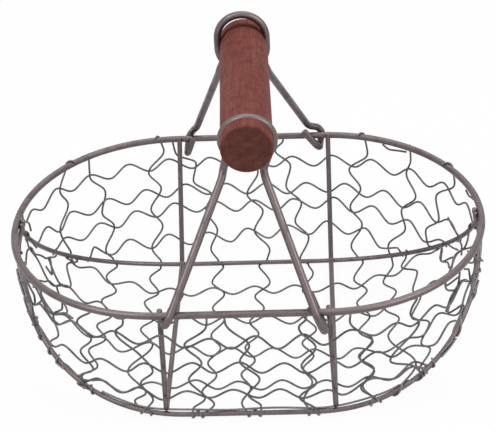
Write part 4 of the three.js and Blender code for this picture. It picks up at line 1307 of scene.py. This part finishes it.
class BASKET_OT_cross_wires(bpy.types.Operator):
    """Adds the crosswise net wires, hooked over the rim and wrapped round both keels"""

    bl_idname = "basket.cross_wires"
    bl_label = "Crosswise net wires"

    def execute(self, context):
        form = BasketForm(context.scene)
        for k, (front, under, back) in enumerate(CROSS_PATHS):
            floor, tips = self.floor_part(form, FLOOR_CROSS[under])
            nodes = [f"floor_cross_{under + 1}"] if under < SOLID_FLOOR_WIRES else []
            walls = {}
            for side, which, table, label in ((-1, front, FRONT_CROSS, "front"),
                                              (1, back, BACK_CROSS, "back")):
                tip = tips[0 if side < 0 else 1]
                if which is None:
                    outwards = np.sign(tip) if abs(tip) < KEEL_CLIMBS_PAST else -np.sign(tip)
                    begin = tip + ENDING_TRAVEL * outwards
                    walls[side] = [self.keel_wrap(form, side, begin, tip, 0.0)]
                    continue
                wall = self.wall_part(form, side, table[which], which)
                foot = float(form.keel_arc_at(wall[-1][-1:, 0])[0])
                walls[side] = [*wall, self.keel_wrap(form, side, foot, tip, form.wrap_travel)]
                nodes.append(f"{label}_cross_{which + 1}")
            back_parts = [part[::-1] for part in reversed(walls[1])]
            path = np.vstack([*walls[-1], marked(floor, False), *back_parts])
            path = softened(path, NET_SPACING, form.softness)
            add_net_wire(f"cross_wire_{k + 1}", form, [path], nodes)
        return {"FINISHED"}

    def floor_part(self, form, bends):
        """Across the floor strip: y runs between the keels while the length along them
        sways from bend to bend. Each half is stretched so that its end meets its keel."""
        y, place = through_bends(bends, CROSS_READ)
        ends = form.keel_point(1, place[[0, -1]])[:, 1] - SHORT_OF_KEEL
        y = np.where(y < 0, y * ends[0] / -y[0], y * ends[1] / y[-1])
        points = form.floor(place, y) + form.floor_normal(place) * form.cross_offset
        return points, (place[0], place[-1])

    def wall_part(self, form, side, bends, which):
        """A hook at the rim and the stretch down the wall: the height runs down while x
        sways from bend to bend. On the front the wire passes under the rim and ends on its
        inner side; on the back it comes up outside and some wires go on over the rim."""
        height, x = through_bends(bends, CROSS_READ)
        height, x = height[::-1], x[::-1]
        hold = form.rim_wire / 2 + form.net_radius + NET_HOOK_GAP
        reach = form.rim_above_keel - (hold + BELOW_RIM if side < 0 else BELOW_RIM)
        low = height < reach
        height, x = np.r_[reach, height[low]], np.r_[x[low][0], x[low]]
        up = form.wall_share(x, height)
        near = np.clip((height - reach + RIM_APPROACH) / RIM_APPROACH, 0.0, 1.0)
        near = near * near * (3 - 2 * near)
        at_rim = 0.0 if side < 0 else hold
        offset = form.cross_offset + (at_rim - form.cross_offset) * near
        wall = form.wall(side, x, up) + form.wall_normal(side, x, up) * offset[:, None]
        first, last = FRONT_HOOK if side < 0 else (BACK_HOOKS[which], 0.0)
        angles = np.radians(np.linspace(first, last, HOOK_POINTS))
        hand = 1.0 if x[0] > x[min(LEAN_STEPS, len(x) - 1)] else -1.0
        slope = form.rim_width(x[0] + SLOPE_STEP) - form.rim_width(x[0] - SLOPE_STEP)
        step = hand * form.wrap_travel / math.hypot(1.0, float(slope) / (2 * SLOPE_STEP))
        at = x[0] + step * np.abs(angles - angles[-1]) / math.radians(HOOK_TURN)
        furthest = form.rim_half_length - SHORT_OF_RIM_END
        at = np.clip(at, -furthest, furthest)
        axis = unit(form.rim_point(side, at + RIM_STEP) - form.rim_point(side, at - RIM_STEP))
        rise = np.broadcast_to((0.0, 0.0, 1.0), axis.shape)
        out = np.cross(rise, axis)
        out = out * np.sign(out[:, 1:2]) * side
        hook = wrap_round(form.rim_point(side, at), out, rise, hold, angles)
        return marked(hook, True), marked(wall, False)

    def keel_wrap(self, form, side, begin, end, travel):
        """Round the front keel once and a little more, from outside, under, inside and
        over to the underside, while the place moves along the keel by at least one and a
        half travels. On the back keel, and where a wire ends, only part of a turn is made."""
        apart = end - begin
        least = LEAST_TRAVELS * travel
        if side < 0 and abs(apart) < least:
            apart = math.copysign(least, apart or 1.0)
            middle = (begin + end) / 2
            begin, end = middle - apart / 2, middle + apart / 2
        longest = form.keel_arc[-1] - WRAP_SHORT_OF_TIP
        hold = form.keel_wire / 2 + form.net_radius + KEEL_WRAP_GAP
        share = np.linspace(0.0, 1.0, WRAP_POINTS)
        arc = np.clip(begin + (end - begin) * share, -longest, longest)
        under, out = form.across_keel(side, arc)
        turns = CROSS_TURNS[side] if travel > 0 else ENDING_TURNS
        angles = -2 * math.pi * turns * (1 - share)
        wrap = wrap_round(form.keel_point(side, arc), under, -out, hold, angles)
        return form.inside_rim(marked(wrap, side < 0))


class BASKET_OT_row_wires(bpy.types.Operator):
    """Adds the lengthwise net wires of the walls and the floor"""

    bl_idname = "basket.row_wires"
    bl_label = "Lengthwise net wires"

    def execute(self, context):
        form = BasketForm(context.scene)
        for label, side, rows in (("front_row", -1, FRONT_ROWS), ("back_row", 1, BACK_ROWS),
                                  ("floor_row", 0, FLOOR_ROWS)):
            for k, row in enumerate(rows):
                path = self.floor_row(form, row) if side == 0 else self.wall_row(form, side, row)
                ends = [self.end_wrap(form, path[::-1]), self.end_wrap(form, path)]
                path = np.vstack([ends[0][::-1], marked(path, False), ends[1]])
                path = softened(path, NET_SPACING, form.softness)
                name = f"{label}_{k + 1}"
                add_net_wire(name + "_wire", form, [path], [name])
        return {"FINISHED"}

    def wall_row(self, form, side, row):
        """Along a wall: x runs from end to end while the height sways from bend to bend.
        The run is measured as the angle whose sine is x over the rim's half length."""
        bends = [(math.asin(x / form.rim_half_length), height) for x, height in row]
        turn, height = through_bends(bends, WALL_READ)
        x = form.rim_half_length * np.sin(turn)
        up = form.wall_share(x, height)
        points = form.wall(side, x, up) + form.wall_normal(side, x, up) * form.row_offset
        return self.clear_of_keels(form, points)

    def floor_row(self, form, row):
        """Along the floor: the length along the keels runs from end to end while y sways
        from bend to bend."""
        run, y = through_bends(row, FLOOR_READ)
        points = form.floor(run, y) + form.floor_normal(run) * form.row_offset
        return self.clear_of_keels(form, points)

    def nearest_keel(self, form, points):
        """Distance to the nearer keel and the place along it, for each point."""
        table = np.stack([form.keel_x, form.keel_y, form.keel_z + form.keel_h], axis=1)
        flat = np.linspace(0, form.keel_x[0], FLAT_POINTS)[:-1]
        start = np.stack([flat, np.full_like(flat, form.keel_y[0]),
                          np.full_like(flat, form.keel_z)], axis=1)
        table = np.vstack([start, table])
        arcs = np.r_[flat, form.keel_arc]
        near = np.abs(points) * (1, 1, 0) + points * (0, 0, 1)
        away = np.linalg.norm(near[:, None] - table[None], axis=2)
        pick = away.argmin(axis=1)
        return away[np.arange(len(points)), pick], arcs[pick] * np.sign(points[:, 0])

    def clear_of_keels(self, form, points):
        """The longest stretch about the middle that stays clear of both keels."""
        away, _ = self.nearest_keel(form, points)
        close = away < form.keel_wire / 2 + form.net_radius + ROW_END_GAP
        middle = len(points) // 2
        left = np.nonzero(close[:middle])[0]
        right = np.nonzero(close[middle:])[0]
        first = left[-1] + 1 if len(left) else 0
        last = middle + right[0] if len(right) else len(points)
        return points[first:last]

    def end_wrap(self, form, path):
        """Round the keel at a row's end, moving along the keel as the row did: most of a
        turn on the front keel, less than half on the back one. A row that ends against
        another net wire gets none."""
        tip, heading = path[-1], unit(path[-1] - path[-1 - HEADING_STEPS])
        away, arcs = self.nearest_keel(form, path[-1:])
        if away[0] > WRAPPED_WITHIN * form.keel_wire:
            return marked(path[-1:], False)
        side = 1 if tip[1] > 0 else -1
        longest = form.keel_arc[-1] - ROW_SHORT_OF_TIP
        share = np.linspace(0.0, 1.0, ROW_WRAP_POINTS)[1:]
        ahead = form.along_keel(side, arcs)
        way = 1.0 if float((ahead @ heading)[0]) > 0 else -1.0
        arc = np.clip(arcs[0] + way * form.wrap_travel * END_TURNS[side] * share,
                      -longest, longest)
        axis = form.along_keel(side, arc)
        from_keel = tip - form.keel_point(side, arcs)[0]
        out = unit(from_keel - axis * (axis @ from_keel)[:, None])
        third = np.cross(axis, out)
        hand = np.sign(third @ heading)[:, None]
        hand = np.where(hand == 0, 1.0, hand)
        hold = form.keel_wire / 2 + ROW_WRAP_GAP + form.net_radius
        start = float(np.linalg.norm(from_keel))
        radius = start + (hold - start) * np.clip(share * SETTLES_IN, 0, 1)
        turns = share * 2 * math.pi * END_TURNS[side]
        wrap = wrap_round(form.keel_point(side, arc), out, third * hand[0], radius, turns)
        return form.inside_rim(marked(wrap, side < 0))


class BASKET_OT_edge_wires(bpy.types.Operator):
    """Adds the net's edge wires, which are laid along the front keel"""

    bl_idname = "basket.edge_wires"
    bl_label = "Net edge wires"

    def execute(self, context):
        form = BasketForm(context.scene)
        strands = [self.strand(form, *EDGE_STRAND, EDGE_LIFT)]
        strands += [self.strand(form, *laid, 0.0) for laid in LAID_STRANDS]
        add_net_wire("front_edge_wire", form, strands)
        return {"FINISHED"}

    def strand(self, form, begin, end, first_turn, last_turn, lift):
        """A wire laid along the front keel at an angle that runs from one to another, 0
        being below the keel and a quarter turn its inner side. It may rise from the keel by
        the lift, and come back, in each repeat, and it lies on the keel at both ends."""
        arc = np.linspace(begin, end, STRAND_POINTS)
        under, out = form.across_keel(-1, arc)
        hold = form.keel_wire / 2 + form.net_radius + KEEL_WRAP_GAP
        ends = np.clip((abs(begin) - np.abs(arc)) / EDGE_LANDING, 0.0, 1.0)
        hold = hold + lift * ends * (1 + np.sin(2 * math.pi * arc / EDGE_REPEAT)) / 2
        angles = 2 * math.pi * np.linspace(first_turn, last_turn, len(arc))
        path = wrap_round(form.keel_point(-1, arc), under, -out, hold, angles)
        return form.inside_rim(marked(softened(path, NET_SPACING, form.softness), True))


class BASKET_OT_end_wires(bpy.types.Operator):
    """Adds the short bent wires of the net's two ends"""

    bl_idname = "basket.end_wires"
    bl_label = "Net end wires"

    def execute(self, context):
        form = BasketForm(context.scene)
        paths = []
        for place, layer, bends in END_WIRES:
            flat = np.column_stack([bends, np.zeros(len(bends))])
            first, second = resampled(flat, END_READ)[:, :2].T
            inwards = form.row_offset - layer * END_LAYER_RADII * form.net_radius
            if place == "floor":
                path = form.floor(first, second) + form.floor_normal(first) * inwards
            else:
                side = -1 if place == "front" else 1
                up = form.wall_share(first, second)
                path = form.wall(side, first, up) + form.wall_normal(side, first, up) * inwards
            path = softened(path, END_SPACING, END_SOFTNESS * form.softness)
            paths.append(form.inside_rim(path))
        add_net_wire("net_end_wires", form, paths)
        return {"FINISHED"}


class BASKET_OT_welds(bpy.types.Operator):
    """Adds the small weld beads that join ribs, keels and rim"""

    bl_idname = "basket.welds"
    bl_label = "Weld beads"

    def execute(self, context):
        form = BasketForm(context.scene)
        spots = []
        for side, front_top, front_floor, back_floor, back_top in RIBS.values():
            for way, top, floor in ((-1, front_top, front_floor), (1, back_top, back_floor)):
                inner = float(form.rim_width(np.array(top))) - RIB_BESIDE_RIM * RIM_WELD_SHARE
                spots.append(((side * top, way * inner, form.rim_z), RIM_WELD))
                beside = form.keel_half_width - RIB_INSET / 2
                level = form.keel_z + RIB_ABOVE_KEEL / 2
                spots.append(((side * floor, way * beside, level), KEEL_WELD))
        near_tip = form.keel_arc[-1] - TIP_WELD_BACK
        for end in (-1, 1):
            for side in (-1, 1):
                tip = form.keel_point(side, np.array([end * near_tip]))[0]
                tip = tip + np.array([end * TIP_WELD_OUT, 0.0, -TIP_WELD_DROP])
                spots.append((tuple(tip), TIP_WELD))
        beads = [self.bead(place, half, seed) for seed, (place, half) in enumerate(spots)]
        add_piece("welds", joined(beads), [frame_metal()], "basket")
        return {"FINISHED"}

    def bead(self, place, half, seed):
        """A lumpy ball: each half length times 1 + L sin(3 u + seed) sin(2 v + seed), L being
        the lumps' share, u the turn about Z and v the angle from the top. Two points close it."""
        u = np.arange(WELD_SIDES) * 2 * math.pi / WELD_SIDES
        v = np.linspace(0, math.pi, WELD_RINGS + 2)[1:-1]
        swell = 1 + WELD_LUMPS * np.sin(3 * u[None] + seed) * np.sin(2 * v[:, None] + seed)
        ball = np.stack([
            np.sin(v)[:, None] * np.cos(u)[None] * swell,
            np.sin(v)[:, None] * np.sin(u)[None] * swell,
            np.cos(v)[:, None] * swell,
        ], axis=-1).reshape(-1, 3)
        ball = np.vstack([ball, [[0, 0, 1], [0, 0, -1]]]) * half + place
        return ball, turned_faces(WELD_RINGS, WELD_SIDES), marked(ball * MM, False)


class BASKET_OT_grip(bpy.types.Operator):
    """Adds the turned wooden grip with its two grooves"""

    bl_idname = "basket.grip"
    bl_label = "Wooden grip"

    def execute(self, context):
        scene = context.scene
        form, sizes = BasketForm(scene), scene.basket_grip_sizes
        half, rounding = sizes.length / MM / 2, sizes.end_round / MM
        back = half - sizes.back_short / MM
        radius = sizes.diameter / MM / 2
        y = np.linspace(-half + rounding, back - rounding, SIDE_RINGS)
        wide = np.where(y < 0, sizes.front_groove, sizes.back_groove) / MM / 2
        loop_in = np.where(y < 0, BAILS["front_bail"]["loop_in"], BAILS["back_bail"]["loop_in"])
        groove_y = form.groove_span / 2 - loop_in
        inside = np.clip((wide - np.abs(np.abs(y) - groove_y)) / GROOVE_SLOPE, 0, 1)
        depth = np.where(y < 0, sizes.front_depth, sizes.back_depth) / MM
        side = radius - depth * inside ** 2 * (3 - 2 * inside)
        turn = np.linspace(0, math.pi / 2, EDGE_RINGS + 1)[:-1]
        edge_y = -rounding * (1 - np.sin(math.pi / 2 - turn))
        edge_r = radius - rounding * (1 - np.cos(math.pi / 2 - turn))
        face = np.linspace(FIRST_RING, 1, FACE_RINGS + 1)[:-1] * (radius - rounding)
        heights = np.r_[
            np.full(FACE_RINGS, -half), -half - edge_y, y, back + edge_y[::-1],
            np.full(FACE_RINGS, back),
        ]
        radii = np.r_[face, edge_r, side, edge_r[::-1], face[::-1]]
        angle = np.arange(GRIP_SIDES) * 2 * math.pi / GRIP_SIDES
        wave = np.sin(3 * angle[None] + heights[:, None] / GRIP_LUMP_LENGTH)
        lumps = 1 - GRIP_LUMPS * wave
        reach = radii[:, None] * lumps
        points = np.stack([
            reach * np.cos(angle)[None],
            heights[:, None] + 0 * reach,
            reach * np.sin(angle)[None],
        ], axis=-1).reshape(-1, 3)
        points = np.vstack([points, [[0, -half, 0], [0, back, 0]]])
        lean = math.atan2(GRIP_X[0] - GRIP_X[1], form.groove_span)
        middle = (GRIP_X[0] + GRIP_X[1]) / 2
        turned = np.array([
            [math.cos(lean), -math.sin(lean), 0],
            [math.sin(lean), math.cos(lean), 0],
            [0, 0, 1],
        ])
        points = points @ turned.T + (middle, 0, form.grip_z)
        faces = turned_faces(len(heights), GRIP_SIDES)
        add_piece("wooden_grip", (points, faces, None), [grip_wood(), grip_end_grain()],
                  "handle", ["wooden_handle"], self.on_end_faces(len(heights)))
        return {"FINISHED"}

    def on_end_faces(self, rows):
        """For each face of the grip, 1 on the two end faces and 0 on the turned side."""
        bands = np.zeros(rows - 1)
        bands[:FACE_RINGS + 1] = 1
        bands[-FACE_RINGS - 1:] = 1
        return np.concatenate([np.repeat(bands, GRIP_SIDES), np.ones(2 * GRIP_SIDES)])


class BASKET_PT_panel(bpy.types.Panel):
    """The basket's sizes and colours, and a button for each piece"""

    bl_label = "Wire basket"
    bl_idname = "BASKET_PT_panel"
    bl_space_type = "VIEW_3D"
    bl_region_type = "UI"
    bl_category = "Basket"

    def draw(self, context):
        layout = self.layout
        for group in PROPERTY_NAMES:
            box = layout.box()
            values = getattr(context.scene, group)
            for name in values.__annotations__:
                box.prop(values, name)
        for operator in OPERATORS:
            layout.operator(operator.bl_idname)


PROPERTY_NAMES = {
    "basket_frame_sizes": BasketFrameSizes,
    "basket_net_sizes": BasketNetSizes,
    "basket_grip_sizes": BasketGripSizes,
    "basket_colours": BasketColours,
    "basket_view": BasketView,
}
OPERATORS = (
    BASKET_OT_stage,
    BASKET_OT_rim,
    BASKET_OT_keels,
    BASKET_OT_ribs,
    BASKET_OT_bails,
    BASKET_OT_cross_wires,
    BASKET_OT_row_wires,
    BASKET_OT_edge_wires,
    BASKET_OT_end_wires,
    BASKET_OT_welds,
    BASKET_OT_grip,
)
CLASSES = (*PROPERTY_NAMES.values(), *OPERATORS, BASKET_PT_panel)


def register():
    for cls in CLASSES:
        bpy.utils.register_class(cls)
    for name, group in PROPERTY_NAMES.items():
        setattr(bpy.types.Scene, name, bpy.props.PointerProperty(type=group))


def unregister():
    for name in PROPERTY_NAMES:
        delattr(bpy.types.Scene, name)
    for cls in reversed(CLASSES):
        bpy.utils.unregister_class(cls)


def main():
    """Makes the whole basket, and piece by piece."""
    register()
    bpy.ops.basket.stage()
    bpy.ops.basket.rim()
    bpy.ops.basket.keels()
    bpy.ops.basket.ribs()
    bpy.ops.basket.bails()
    bpy.ops.basket.cross_wires()
    bpy.ops.basket.row_wires()
    bpy.ops.basket.edge_wires()
    bpy.ops.basket.end_wires()
    bpy.ops.basket.welds()
    bpy.ops.basket.grip()


if __name__ == "__main__":
    main()
